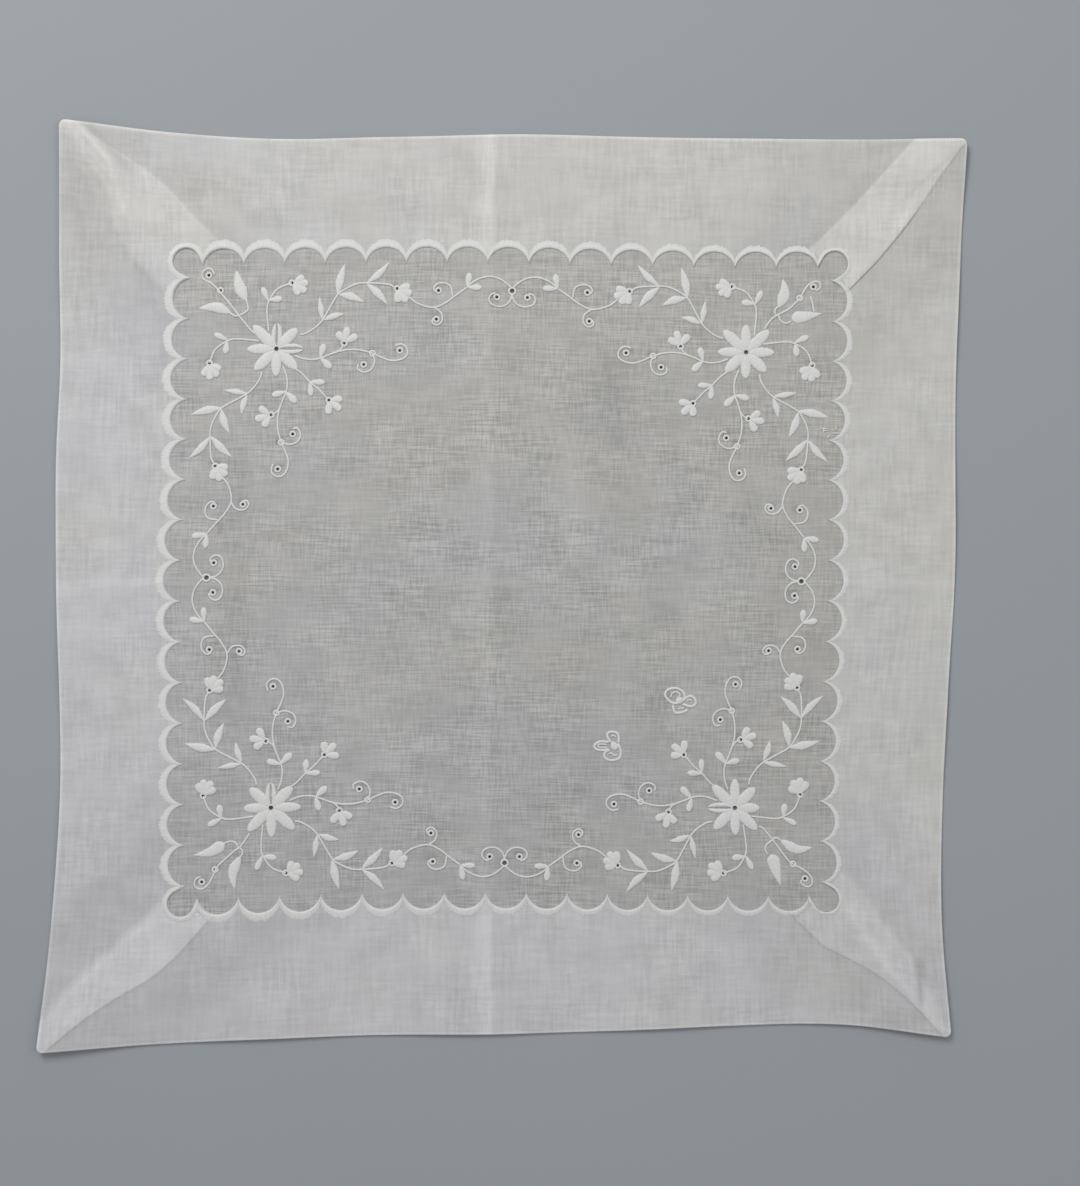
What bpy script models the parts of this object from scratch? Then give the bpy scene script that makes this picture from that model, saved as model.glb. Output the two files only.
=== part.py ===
"""A square linen handkerchief lying open on a surface.

It is one cloth: a thin field in the middle and a wide hem, turned over to the front and mitred
at its corners, whose free edge is cut in scallops and held down by a raised satin-stitched rim.

The cloth is worked out flat, in coordinates (u, v) with its centre at (0, 0), and every point is
then moved to where it lies: a little askew, drawn in along its sides and pulled out at its corners.
Units are metres, +Z is up, and the surface is at z = 0.
"""

import bmesh
import bpy
import numpy as np
from mathutils import Vector
from mathutils.geometry import delaunay_2d_cdt

MM = 0.001

# The finished cloth, measured flat
HALF = 150.0 * MM
CORNER_ROUND = 2.2 * MM
FOLD_INSET = 0.5 * MM

# The scalloped edge: regular lobes along each side and one round lobe in each corner
LOBES_A_SIDE = 15
LOBE_PITCH = 13.6 * MM
LOBE_RISE = 4.5 * MM
CORNER_STEP = 5.25 * MM
CORNER_LOBE_RADIUS = 4.4 * MM
CORNER_LOBE_REACH = 0.4 * MM
CORNER_RIM_SHARE = 0.5
CUSP_IN = 0.5 * MM
CUSP_HALF = LOBES_A_SIDE * LOBE_PITCH / 2 + CORNER_STEP

# The satin rim: how far its crest and its outer side stand outwards, mid-lobe and at a cusp
CREST_OUT = 0.45 * MM
CREST_CUSP_OUT = 0.1 * MM
RIM_OUT = 2.5 * MM
RIM_CUSP_OUT = 2.1 * MM

# How thick the cloth is in the field, in the doubled hem, and what stands on it
FIELD_THICK = 1.0 * MM
HEM_THICK = 1.6 * MM
RIM_THICK = 2.0 * MM
MITRE_RISE = 0.35 * MM
CREASE_RISE = 0.4 * MM

# The mitre's seam allowance, a band along each corner's diagonal. Its two sides are measured in
# millimetres across the diagonal, clockwise, at even stations from its inner to its outer end.
MITRE_INNER_GAP = 11.5 * MM
MITRE_OUTER_GAP = 4.0 * MM
MITRE_SLOPE = 0.9 * MM
MITRE_STEPS = 7
MITRE_BANDS = (
    {
        "corner": (-1, 1),
        "one_side_mm": (-12.4, -10.4, -4.1, -2.2, -1.8),
        "other_side_mm": (12.4, 12.6, 10.3, 6.6, 4.0),
    },
    {
        "corner": (1, 1),
        "one_side_mm": (-9.4, -9.9, -10.9, -11.8, -12.5),
        "other_side_mm": (9.4, 8.2, 6.2, 3.4, 1.0),
    },
    {
        "corner": (1, -1),
        "one_side_mm": (-11.0, -9.5, -9.0, -6.5, -2.0),
        "other_side_mm": (12.2, 7.9, 4.2, 2.3, 2.0),
    },
    {
        "corner": (-1, -1),
        "one_side_mm": (-10.8, -9.3, -5.7, -3.1, -2.0),
        "other_side_mm": (5.3, 6.4, 7.1, 7.8, 6.0),
    },
)

# The pressed creases left from folding in four
UPRIGHT_CREASE_U = -5.4 * MM
LEVEL_CREASE_V = -0.7 * MM
CREASE_HALF_WIDTH = 1.6 * MM
CREASE_STEP = 9.0 * MM
CREASE_FEWEST_POINTS = 3
LEVEL_CREASE_SHARE = 0.6
CREASE_EDGE_STOP = 4.0 * MM
CREASE_RIM_OUTER_STOP = 9.0 * MM
CREASE_RIM_INNER_STOP = 3.0 * MM
CREASE_MIDDLE_STOP = 6.0 * MM

# How the cloth lies. Offsets are in millimetres outwards from the flat square, at even stations
# along each side, from left to right or from bottom to top.
SKEW = 0.004
EDGE_OFFSETS_MM = {
    "top": (2.9, -1.4, -3.5, -2.8, -2.0, -2.7, -3.4, -3.6, -3.6),
    "bottom": (6.3, 3.5, 1.7, 0.5, 0.2, -0.9, -2.5, -3.0, 1.1),
    "left": (5.3, 0.7, -1.9, -1.7, -0.4, -0.3, -1.5, -1.1, -1.2),
    "right": (-2.4, -5.6, -5.3, -3.8, -1.6, -1.6, -1.4, 0.0, 1.7),
}
SCALLOP_OFFSETS_MM = {
    "top": (-1.7, -1.7, -1.3, -1.0, -1.1, -2.0, -2.7, -2.7, -2.5),
    "bottom": (0.1, -0.6, -1.9, -3.0, -3.2, -2.7, -2.4, -2.2, -2.0),
    "left": (0.6, 0.2, 0.9, 1.4, 2.3, 0.5, 0.0, -0.9, -0.8),
    "right": (-1.0, -1.4, -2.9, -2.0, -0.2, -0.5, 0.6, 0.4, 0.8),
}

# Where the cloth stands off the surface: at its pulled-out corners and in waves along its sides
CORNER_LIFTS = (
    {"corner": (-1, 1), "rise": 1.8 * MM},
    {"corner": (1, 1), "rise": 1.2 * MM},
    {"corner": (1, -1), "rise": 1.6 * MM},
    {"corner": (-1, -1), "rise": 1.4 * MM},
)
CORNER_LIFT_REACH = 34.0 * MM
WAVE_RISE = 0.7 * MM
WAVES_A_SIDE = 4.5
UPRIGHT_WAVE_PHASE = 1.0
LEVEL_WAVE_PHASE = 2.0
LEAST_LIFT = 0.3 * MM

# How closely points are set
LOBE_STEPS = 6
CORNER_LOBE_STEPS = 8
OUTLINE_STEPS = 28
CORNER_STEPS = 3
TOP_GRID = 12.0 * MM
UNDER_GRID = 15.0 * MM
CLEARANCE = 3.2 * MM
SAME_POINT = 1e-7

LINEN_WHITE = (0.78, 0.78, 0.77, 1.0)
LINEN_ROUGHNESS = 0.85


def smooth_row(values, share):
    """Reads evenly spaced values at share, from -1 to 1, on a smooth curve through them all."""
    values = np.asarray(values, float)
    spans = len(values) - 1
    place = np.clip((np.asarray(share, float) + 1) / 2 * spans, 0, spans - 1e-9)
    first = place.astype(int)
    f = place - first
    row = np.concatenate(([2 * values[0] - values[1]], values, [2 * values[-1] - values[-2]]))
    a, b, c, d = row[first], row[first + 1], row[first + 2], row[first + 3]
    return b + 0.5 * f * (c - a + f * (2 * a - 5 * b + 4 * c - d + f * (3 * (b - c) + d - a)))


def ease(share):
    """A smooth step from 0 to 1."""
    share = np.clip(share, 0, 1)
    return share * share * (3 - 2 * share)


def drawn(across, along, low, high):
    """How far a point moves along one axis: by the scallops' offset at their line, by the
    edge's at the edge, and smoothly less towards the middle."""
    side = np.where(across < 0, -1.0, 1.0)
    inner = np.where(
        across < 0,
        smooth_row(SCALLOP_OFFSETS_MM[low], along / HALF),
        smooth_row(SCALLOP_OFFSETS_MM[high], along / HALF),
    )
    outer = np.where(
        across < 0,
        smooth_row(EDGE_OFFSETS_MM[low], along / HALF),
        smooth_row(EDGE_OFFSETS_MM[high], along / HALF),
    )
    field_share = ease(np.abs(across) / CUSP_HALF)
    hem_share = ease((np.abs(across) - CUSP_HALF) / (HALF - CUSP_HALF))
    return side * MM * (inner * field_share + (outer - inner) * hem_share)


def lie(flat):
    """Moves flat points (u, v) to where they lie on the surface."""
    u, v = flat[:, 0], flat[:, 1]
    x = u + SKEW * v + drawn(u, v, "left", "right")
    y = v + drawn(v, u, "bottom", "top")
    return np.column_stack((x, y))


def lift(flat):
    """How far the cloth's underside stands off the surface at flat points (u, v). Where it would
    stand off by less than the least lift, it lies on the surface."""
    u, v = flat[:, 0], flat[:, 1]
    reach = np.maximum(np.abs(u), np.abs(v))
    hem_share = ease((reach - CUSP_HALF) / (HALF - CUSP_HALF))
    upright = np.abs(u) > np.abs(v)
    along = np.where(upright, v, u)
    phase = np.where(upright, UPRIGHT_WAVE_PHASE * np.sign(u), LEVEL_WAVE_PHASE * np.sign(v))
    wave = 0.5 - 0.5 * np.cos(np.pi * WAVES_A_SIDE * along / HALF + phase)
    rise = WAVE_RISE * hem_share**2 * wave
    for row in CORNER_LIFTS:
        corner = np.array(row["corner"]) * HALF
        away = np.hypot(u - corner[0], v - corner[1])
        rise = rise + row["rise"] * ease(1 - away / CORNER_LIFT_REACH)
    return np.where(rise < LEAST_LIFT, 0.0, rise)


def arc(start, end, rise, steps):
    """Points on the round arc from start to end that stands rise off its chord, to the left of
    the way from start to end, without the end point."""
    start, end = np.array(start), np.array(end)
    chord = end - start
    half = np.hypot(*chord) / 2
    radius = (half * half + rise * rise) / (2 * rise)
    outwards = np.array((-chord[1], chord[0])) / (2 * half)
    centre = (start + end) / 2 + outwards * (rise - radius)
    spoke = start - centre
    sweep = -2 * np.arctan2(half, radius - rise)
    turn = sweep * np.arange(steps) / steps
    return np.column_stack((
        centre[0] + spoke[0] * np.cos(turn) - spoke[1] * np.sin(turn),
        centre[1] + spoke[0] * np.sin(turn) + spoke[1] * np.cos(turn),
    ))


def corner_lobe(cusp_out, lobe_out):
    """The top right corner's lobe: a tangent from the cusp on the top side, the round, and the
    tangent to the cusp on the right side, whose point is left out."""
    centre = CUSP_HALF + CORNER_LOBE_REACH
    radius = CORNER_LOBE_RADIUS + CORNER_RIM_SHARE * lobe_out
    cusp = np.array((CUSP_HALF - CORNER_STEP, CUSP_HALF + cusp_out))
    away = cusp - centre
    touch = np.arctan2(away[1], away[0]) % (2 * np.pi) - np.arccos(radius / np.hypot(*away))
    turn = np.linspace(touch, np.pi / 2 - touch, CORNER_LOBE_STEPS)
    round_points = np.column_stack((centre + radius * np.cos(turn), centre + radius * np.sin(turn)))
    return np.vstack((cusp, round_points))


def scallop_line(cusp_out, lobe_out):
    """The whole scalloped line, clockwise from the top left: its lobes stand lobe_out further
    outwards than the cut edge and its cusps cusp_out outside the square of the lobes' ends."""
    first = -LOBES_A_SIDE * LOBE_PITCH / 2
    level = CUSP_HALF + cusp_out
    rise = LOBE_RISE + lobe_out - cusp_out
    lobes = [
        arc((first + i * LOBE_PITCH, level), (first + (i + 1) * LOBE_PITCH, level), rise, LOBE_STEPS)
        for i in range(LOBES_A_SIDE)
    ]
    return four_sides(np.vstack([*lobes, corner_lobe(cusp_out, lobe_out)]))


def four_sides(top):
    """The top side's points and the same turned by a quarter clockwise, three times."""
    sides = [top]
    for _ in range(3):
        last = sides[-1]
        sides.append(np.column_stack((last[:, 1], -last[:, 0])))
    return np.vstack(sides)


def outline(inset):
    """The cloth's square outline with its rounded corners, inset by that much."""
    half = HALF - inset
    straight = half - CORNER_ROUND
    along = np.linspace(-straight, straight, OUTLINE_STEPS + 1)
    turn = np.linspace(np.pi / 2, 0, CORNER_STEPS + 1)[1:-1]
    corner = straight + CORNER_ROUND * np.column_stack((np.cos(turn), np.sin(turn)))
    return four_sides(np.vstack((np.column_stack((along, np.full(along.shape, half))), corner)))


def mitre_lines():
    """The sides of the mitre bands, each as a line on the hem and one on the band's top, with
    how much higher the cloth is there."""
    inner = CUSP_HALF * np.sqrt(2) + MITRE_INNER_GAP
    share = np.linspace(0, 1, MITRE_STEPS)
    lines = []
    for row in MITRE_BANDS:
        out = np.array(row["corner"]) / np.sqrt(2)
        beside = np.array((out[1], -out[0]))
        for side, inwards in ((row["one_side_mm"], 1), (row["other_side_mm"], -1)):
            across = smooth_row(side, 2 * share - 1) * MM
            outer = HALF * np.sqrt(2) - MITRE_OUTER_GAP - abs(across[-1])
            along = inner + (outer - inner) * share
            for shift, rise in ((0.0, 0.0), (MITRE_SLOPE * inwards, MITRE_RISE)):
                points = along[:, None] * out + (across[:, None] + shift) * beside
                lines.append((points, rise))
    return lines


def crease_lines():
    """The two pressed creases, in stretches that stop short of the scallops and of each other."""
    field = (CREASE_MIDDLE_STOP, CUSP_HALF - CREASE_RIM_INNER_STOP)
    hem = (CUSP_HALF + CREASE_RIM_OUTER_STOP, HALF - CREASE_EDGE_STOP)
    lines = []
    for sign, (near, far) in ((-1, hem), (-1, field), (1, field), (1, hem)):
        count = max(CREASE_FEWEST_POINTS, round((far - near) / CREASE_STEP) + 1)
        along = sign * np.linspace(near, far, count)
        for shift, rise in ((-CREASE_HALF_WIDTH, 0.0), (0.0, CREASE_RISE), (CREASE_HALF_WIDTH, 0.0)):
            beside = np.full(along.shape, shift)
            lines.append((np.column_stack((UPRIGHT_CREASE_U + beside, along)), rise))
            lines.append((np.column_stack((along, LEVEL_CREASE_V + beside)), rise * LEVEL_CREASE_SHARE))
    return lines


def cloth_thickness(flat):
    """The field's thickness inside the scallops and the hem's outside them."""
    outside = np.max(np.abs(flat), axis=1) > CUSP_HALF
    return np.where(outside, HEM_THICK, FIELD_THICK)


def free_grid(step, taken):
    """Grid points at least CLEARANCE from every point that is already taken."""
    count = int(2 * HALF / step)
    row = (np.arange(count) - (count - 1) / 2) * step
    grid = np.array([(a, b) for a in row for b in row])
    near = np.min(np.hypot(*(grid[:, None] - taken[None]).transpose(2, 0, 1)), axis=1)
    return grid[near > CLEARANCE]


def triangulated(points, edges):
    """Fills the flat outline, whose edges come first, with triangles that keep every edge.
    Returns them and, for each point, the number it had before."""
    vectors = [Vector(p) for p in points]
    found, _, faces, origins, _, _ = delaunay_2d_cdt(vectors, edges, [], 0, SAME_POINT)
    kept = [origins[i][0] for i in range(len(found))]
    return [[kept[i] for i in face] for face in faces]


def ring_edges(first, count):
    """The edges of a closed line of points."""
    return [(first + i, first + (i + 1) % count) for i in range(count)]


def top_side():
    """The cloth's upper side: its flat points, how thick the cloth is at each, and triangles."""
    rim = outline(FOLD_INSET)
    rings = (
        (rim, HEM_THICK),
        (scallop_line(-CUSP_IN, 0.0), FIELD_THICK),
        (scallop_line(CREST_CUSP_OUT, CREST_OUT), RIM_THICK),
        (scallop_line(RIM_CUSP_OUT, RIM_OUT), HEM_THICK),
    )
    points, thick, edges = [], [], []
    count = 0
    for ring, thickness in rings:
        edges += ring_edges(count, len(ring))
        points.append(ring)
        thick.append(np.full(len(ring), thickness))
        count += len(ring)
    for line, rise in [*mitre_lines(), *crease_lines()]:
        edges += [(count + i, count + i + 1) for i in range(len(line) - 1)]
        points.append(line)
        thick.append(cloth_thickness(line) + rise)
        count += len(line)
    grid = free_grid(TOP_GRID, np.vstack(points))
    points.append(grid)
    thick.append(cloth_thickness(grid))
    flat = np.vstack(points)
    return flat, np.concatenate(thick), triangulated(flat, edges), len(rim)


def under_side():
    """The cloth's underside: its flat points and triangles."""
    rim = outline(FOLD_INSET)
    flat = np.vstack((rim, free_grid(UNDER_GRID, rim)))
    return flat, triangulated(flat, ring_edges(0, len(rim)))


def placed(flat, height):
    """Points (x, y, z) for flat points that stand height over the cloth's underside."""
    return np.column_stack((lie(flat), lift(flat) + height))


def box_middle():
    """The middle of the lying cloth's outline box."""
    edge = lie(outline(0.0))
    return (edge.min(axis=0) + edge.max(axis=0)) / 2


def add_points(bm, points, middle):
    """Adds vertices, measured from the middle of the cloth's box, and returns them."""
    return [bm.verts.new((x - middle[0], y - middle[1], z)) for x, y, z in points]


def handkerchief_mesh():
    """The closed cloth: its upper side, its underside and the fold round its edge between them."""
    bm = bmesh.new()
    middle = box_middle()
    flat, thick, faces, rim_count = top_side()
    top = add_points(bm, placed(flat, thick), middle)
    for face in faces:
        bm.faces.new([top[i] for i in face])
    under_flat, under_faces = under_side()
    under = add_points(bm, placed(under_flat, 0.0), middle)
    for face in under_faces:
        bm.faces.new([under[i] for i in reversed(face)])
    fold = add_points(bm, placed(outline(0.0), HEM_THICK / 2), middle)
    for upper, lower in ((top, fold), (fold, under)):
        for i in range(rim_count):
            after = (i + 1) % rim_count
            bm.faces.new((upper[i], upper[after], lower[after], lower[i]))
    bmesh.ops.triangulate(bm, faces=bm.faces[:])
    bmesh.ops.recalc_face_normals(bm, faces=bm.faces[:])
    mesh = bpy.data.meshes.new("linen_handkerchief")
    bm.to_mesh(mesh)
    bm.free()
    return mesh


def linen():
    """The linen's material."""
    material = bpy.data.materials.new("linen")
    material.use_nodes = True
    shader = material.node_tree.nodes["Principled BSDF"]
    shader.inputs["Base Color"].default_value = LINEN_WHITE
    shader.inputs["Roughness"].default_value = LINEN_ROUGHNESS
    shader.inputs["Metallic"].default_value = 0.0
    return material


def main():
    for old in list(bpy.data.objects):
        bpy.data.objects.remove(old)
    collection = bpy.data.collections.new("handkerchief")
    bpy.context.scene.collection.children.link(collection)
    mesh = handkerchief_mesh()
    mesh.materials.append(linen())
    collection.objects.link(bpy.data.objects.new("linen_handkerchief", mesh))


main()
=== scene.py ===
"""The looks of a square linen handkerchief that lies open on a floor.

The cloth is worked out flat, in coordinates (u, v) with its centre at (0, 0), and every point is
moved to where it lies by the same rule as the solid cloth in the frame: askew, drawn in along its
sides and pulled out at its corners. The stitching is drawn in the same flat coordinates.
Units are metres.
"""

import bpy
import numpy as np
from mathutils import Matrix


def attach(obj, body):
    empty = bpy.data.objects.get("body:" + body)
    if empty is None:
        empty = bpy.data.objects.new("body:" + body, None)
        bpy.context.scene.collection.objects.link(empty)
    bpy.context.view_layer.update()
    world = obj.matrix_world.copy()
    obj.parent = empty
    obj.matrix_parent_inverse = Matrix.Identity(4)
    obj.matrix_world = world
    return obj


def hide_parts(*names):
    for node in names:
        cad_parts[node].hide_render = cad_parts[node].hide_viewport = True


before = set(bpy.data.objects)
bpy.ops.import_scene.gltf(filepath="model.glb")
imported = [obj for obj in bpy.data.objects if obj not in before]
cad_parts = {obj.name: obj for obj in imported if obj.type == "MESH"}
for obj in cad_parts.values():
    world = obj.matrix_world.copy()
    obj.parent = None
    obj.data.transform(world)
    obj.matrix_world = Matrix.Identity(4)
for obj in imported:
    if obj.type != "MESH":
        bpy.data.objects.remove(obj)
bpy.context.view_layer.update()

MM = 0.001

# The corners, clockwise from the top left, as signs of u and v
CORNERS = ((-1, 1), (1, 1), (1, -1), (-1, -1))

# The finished cloth, measured flat
HALF = 150.0 * MM
CORNER_ROUND = 2.2 * MM

# The scalloped edge: regular lobes along each side and one round lobe in each corner
LOBES_A_SIDE = 15
LOBE_PITCH = 13.6 * MM
LOBE_RISE = 4.5 * MM
CORNER_STEP = 5.25 * MM
CORNER_LOBE_RADIUS = 4.4 * MM
CORNER_LOBE_REACH = 0.4 * MM
CORNER_RIM_SHARE = 0.58
CUSP_IN = 0.5 * MM
CUSP_HALF = LOBES_A_SIDE * LOBE_PITCH / 2 + CORNER_STEP

# How the cloth lies: offsets in millimetres outwards from the flat square, at even stations
SKEW = 0.004
EDGE_OFFSETS_MM = {
    "top": (2.9, -1.4, -3.5, -2.8, -2.0, -2.7, -3.4, -3.6, -3.6),
    "bottom": (6.3, 3.5, 1.7, 0.5, 0.2, -0.9, -2.5, -3.0, 1.1),
    "left": (5.3, 0.7, -1.9, -1.7, -0.4, -0.3, -1.5, -1.1, -1.2),
    "right": (-2.4, -5.6, -5.3, -3.8, -1.6, -1.6, -1.4, 0.0, 1.7),
}
SCALLOP_OFFSETS_MM = {
    "top": (-1.7, -1.7, -1.3, -1.0, -1.1, -2.0, -2.7, -2.7, -2.5),
    "bottom": (0.1, -0.6, -1.9, -3.0, -3.2, -2.7, -2.4, -2.2, -2.0),
    "left": (0.6, 0.2, 0.9, 1.4, 2.3, 0.5, 0.0, -0.9, -0.8),
    "right": (-1.0, -1.4, -2.9, -2.0, -0.2, -0.5, 0.6, 0.4, 0.8),
}
CORNER_LIFTS = (
    {"corner": (-1, 1), "rise": 1.8 * MM},
    {"corner": (1, 1), "rise": 1.2 * MM},
    {"corner": (1, -1), "rise": 1.6 * MM},
    {"corner": (-1, -1), "rise": 1.4 * MM},
)
CORNER_LIFT_REACH = 34.0 * MM
WAVE_RISE = 0.7 * MM
WAVES_A_SIDE = 4.5
UPRIGHT_WAVE_PHASE = 1.0
LEVEL_WAVE_PHASE = 2.0

# The mitre's seam allowance in each corner: its two sides across the diagonal, clockwise, at even
# stations from its inner to its outer end, how many times softer each side fades and how strong the
# painted shade on the hem beside it is, how pale the band is and the share of its length along
# which the painted shadow of its folded edge shows
MITRE_INNER_GAP = 11.5 * MM
MITRE_OUTER_GAP = 4.0 * MM
MITRE_BANDS = (
    {
        "corner": (-1, 1),
        "one_side_mm": (-12.4, -10.4, -4.1, -2.2, -1.8),
        "other_side_mm": (12.4, 12.6, 10.3, 6.6, 4.0),
        "soft": (3.0, 1.0), "mitre_shade": (0.4, 0.6), "pale": 0.45, "seam": 0.0,
    },
    {
        "corner": (1, 1),
        "one_side_mm": (-9.4, -9.9, -10.9, -11.8, -12.5),
        "other_side_mm": (9.4, 8.2, 6.2, 3.4, 1.0),
        "soft": (1.3, 1.0), "mitre_shade": (1.3, 1.4), "pale": 0.85, "seam": 0.55,
    },
    {
        "corner": (1, -1),
        "one_side_mm": (-11.0, -9.5, -9.0, -6.5, -2.0),
        "other_side_mm": (12.2, 7.9, 4.2, 2.3, 2.0),
        "soft": (3.5, 1.0), "mitre_shade": (0.0, 1.2), "pale": 0.42, "seam": 0.0,
    },
    {
        "corner": (-1, -1),
        "one_side_mm": (-10.8, -9.3, -5.7, -3.1, -2.0),
        "other_side_mm": (5.3, 6.4, 7.1, 7.8, 6.0),
        "soft": (1.0, 4.0), "mitre_shade": (1.7, 1.0), "pale": 0.85, "seam": 0.0,
    },
)
MITRE_RISE = 0.22 * MM
MITRE_SLOPE = 1.4 * MM
# How far the painted shade on the hem reaches from a mitre, and the share of the length over which
# the painted shadow along a seam fades out
MITRE_SHADE_REACH = 34.0 * MM
SEAM_SHADOW_FADE = 0.2

# The layers: the cloth's thickness, how high its middle stands in the field and at its edge, the
# radius of the fold, the gap between the layers at the cut edge, and how much and over what waves
# the hem puffs up
CLOTH_THICK = 0.2 * MM
FIELD_LEVEL = 0.85 * MM
EDGE_LEVEL = 0.46 * MM
FOLD_RADIUS = 0.34 * MM
CUT_EDGE_GAP = 0.24 * MM
HEM_PUFF = 0.3 * MM
PUFF_LENGTHS = (9.1 * MM, 7.3 * MM)
PUFF_PHASE = 1.0

# The pressed creases and the soft waves of the field: place, widths and rise. A crease falls off
# gently below its place and steeply above it.
UPRIGHT_CREASE = {"at": -5.4 * MM, "gentle": 4.4 * MM, "steep": 1.1 * MM, "rise": 0.52 * MM}
LEVEL_CREASE = {"at": -0.7 * MM, "gentle": 2.2 * MM, "steep": 1.2 * MM, "rise": 0.2 * MM}
SOFT_FOLDS = (
    {"from_mm": (-88.7, 36.0), "to_mm": (-88.0, -46.0), "width": 4.5 * MM, "rise": -0.22 * MM},
    {"from_mm": (34.0, 72.0), "to_mm": (37.0, 48.0), "width": 5.5 * MM, "rise": -0.42 * MM},
    {"from_mm": (21.0, 44.0), "to_mm": (22.5, 8.0), "width": 4.5 * MM, "rise": 0.25 * MM},
    {"from_mm": (70.0, 30.0), "to_mm": (62.0, -60.0), "width": 6.0 * MM, "rise": 0.16 * MM},
    {"from_mm": (-60.0, -20.0), "to_mm": (-30.0, -70.0), "width": 7.0 * MM, "rise": 0.18 * MM},
)
SOFT_FOLD_FULL = 0.25 * MM
CRINKLE_FULL = 0.5 * MM
CRINKLES = (
    {"from_mm": (-140.5, 149.0), "to_mm": (-131.8, 139.0), "width": 1.1 * MM, "rise": 0.36 * MM},
    {"from_mm": (-131.8, 139.0), "to_mm": (-126.9, 121.5), "width": 1.2 * MM, "rise": 0.26 * MM},
    {"from_mm": (-138.0, 150.5), "to_mm": (-125.0, 135.5), "width": 1.4 * MM, "rise": -0.3 * MM},
    {"from_mm": (137.0, -126.8), "to_mm": (137.0, -139.4), "width": 0.9 * MM, "rise": -0.6 * MM},
    {"from_mm": (113.7, -110.4), "to_mm": (126.0, -128.2), "width": 1.7 * MM, "rise": 0.2 * MM},
    {"from_mm": (126.0, -128.2), "to_mm": (144.0, -149.0), "width": 1.4 * MM, "rise": 0.26 * MM},
    {"from_mm": (131.0, 118.0), "to_mm": (134.0, 125.0), "width": 1.2 * MM, "rise": 0.3 * MM},
)
WAVES = (
    {"length": 62.0 * MM, "turn": 0.35, "rise": 0.10 * MM, "phase": 0.4},
    {"length": 41.0 * MM, "turn": 1.40, "rise": 0.07 * MM, "phase": 1.9},
    {"length": 27.0 * MM, "turn": 2.30, "rise": 0.045 * MM, "phase": 3.1},
    {"length": 17.0 * MM, "turn": 0.10, "rise": 0.03 * MM, "phase": 0.9},
)
# Where across the hem the creases and waves start to die away and how soon they are gone, and the
# share of it next to its fold over which the mitres and crinkles do
WAVES_FADE_FROM = 0.55
WAVES_FADE_OVER = 0.4
FOLD_FADE = 0.08

# How closely points are set
GROUND_CELLS = 206
HEM_LOBE_STEPS = 15
HEM_CORNER_STEPS = 24
HEM_INNER_ROWS = 6
HEM_OUTER_ROWS = 26
FOLD_STEPS = 7
RIM_LOBE_STEPS = 96
RIM_CORNER_STEPS = 84
CURVE_STEPS = 24
PAD_COLUMNS = 7
TUBE_SIDES = 6
EYELET_STITCHES = 24

# How far the under layer stops short of the edge, and how much wider than an eyelet's hole its
# opening is; the hem's nearly level line past the lobes and how much that still bends; where on
# the edge the rows from the last lobe end; and how far in the hem's return reaches
GROUND_INSET = 1.2 * MM
HOLE_SPARE = 1.06
LEVEL_OUT = 1.8 * MM
LEVEL_BEND = 0.3 * MM
LAST_LOBE = HALF - 10.0 * MM
RETURN_INSETS = (1.2 * MM, 2.2 * MM)

# Satin stitching: how far apart its threads lie, how far they stand up by turns and how ragged
# their ends are; a pad's rise, how much wider than its form and how far sunk it is, the power of
# its dome, and a slit's half as a share of its half width
THREAD_PITCH = 0.36 * MM
RIDGE = 0.03 * MM
RAGGED = 0.09 * MM
SATIN_RISE = 0.5 * MM
SATIN_SPARE = 0.04 * MM
SATIN_SINK = 0.03 * MM
DOME_POWER = 0.38
SLIT_HALF = 0.16

# Stems: widths and rise, how far apart stitches lie, the share of the rise at which a tube's middle
# is, how much a stitch swells, and the share of its size that a stem has at its ends
STEM_WIDTH = 0.7 * MM
WING_WIDTH = 1.0 * MM
VEIN_WIDTH = 0.65 * MM
MENDING_WIDTH = 0.45 * MM
STEM_RISE = 0.34 * MM
STEM_STEP = 0.42 * MM
STEM_MIDDLE = 0.35
STEM_SWELL = 0.12
STEM_END = 0.55

# The satin rim: how far its two sides are from the cut edge, mid-lobe and at a cusp, its rise, its
# section from the inner to the outer side, which are both tucked under the cloth, how ragged its
# stitches' ends are, how far they stand up by turns and the share in which they step onto the hem
RIM_OUT = 2.35 * MM
RIM_CUSP_OUT = 2.1 * MM
RIM_CUSP_IN = 1.1 * MM
RIM_LOBE_IN = 0.12 * MM
RIM_RISE = 0.27 * MM
RIM_ACROSS = np.array((-0.01, 0.01, 0.07, 0.2, 0.42, 0.64, 0.84, 1.0, 1.05))
RIM_PROFILE = np.array((-0.5, 0.3, 0.85, 1.0, 0.76, 0.48, 0.22, 0.04, -0.5))
RIM_RAGGED = 0.14
RIM_RIDGE = 0.1
RIM_STEP = 0.2
# How much wider the rim and its cusps' inner points are to the right and to the top
RIM_LEAN = (-0.2, 0.08)
CUSP_LEAN = (-0.4, -0.1)

# Eyelets: the radii of holes and of rings' threads, how far a ring closes over its hole's edge,
# its rise, the share of that at which the thread's middle is, and how much a stitch swells
EYELET_HOLE = 0.5 * MM
BIG_HOLE = 0.75 * MM
EYELET_RING = 0.4 * MM
FLOWER_RING = 0.28 * MM
EYELET_TUCK = 0.05 * MM
EYELET_RISE = 0.3 * MM
EYELET_MIDDLE = 0.3
EYELET_SWELL = 0.09

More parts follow.
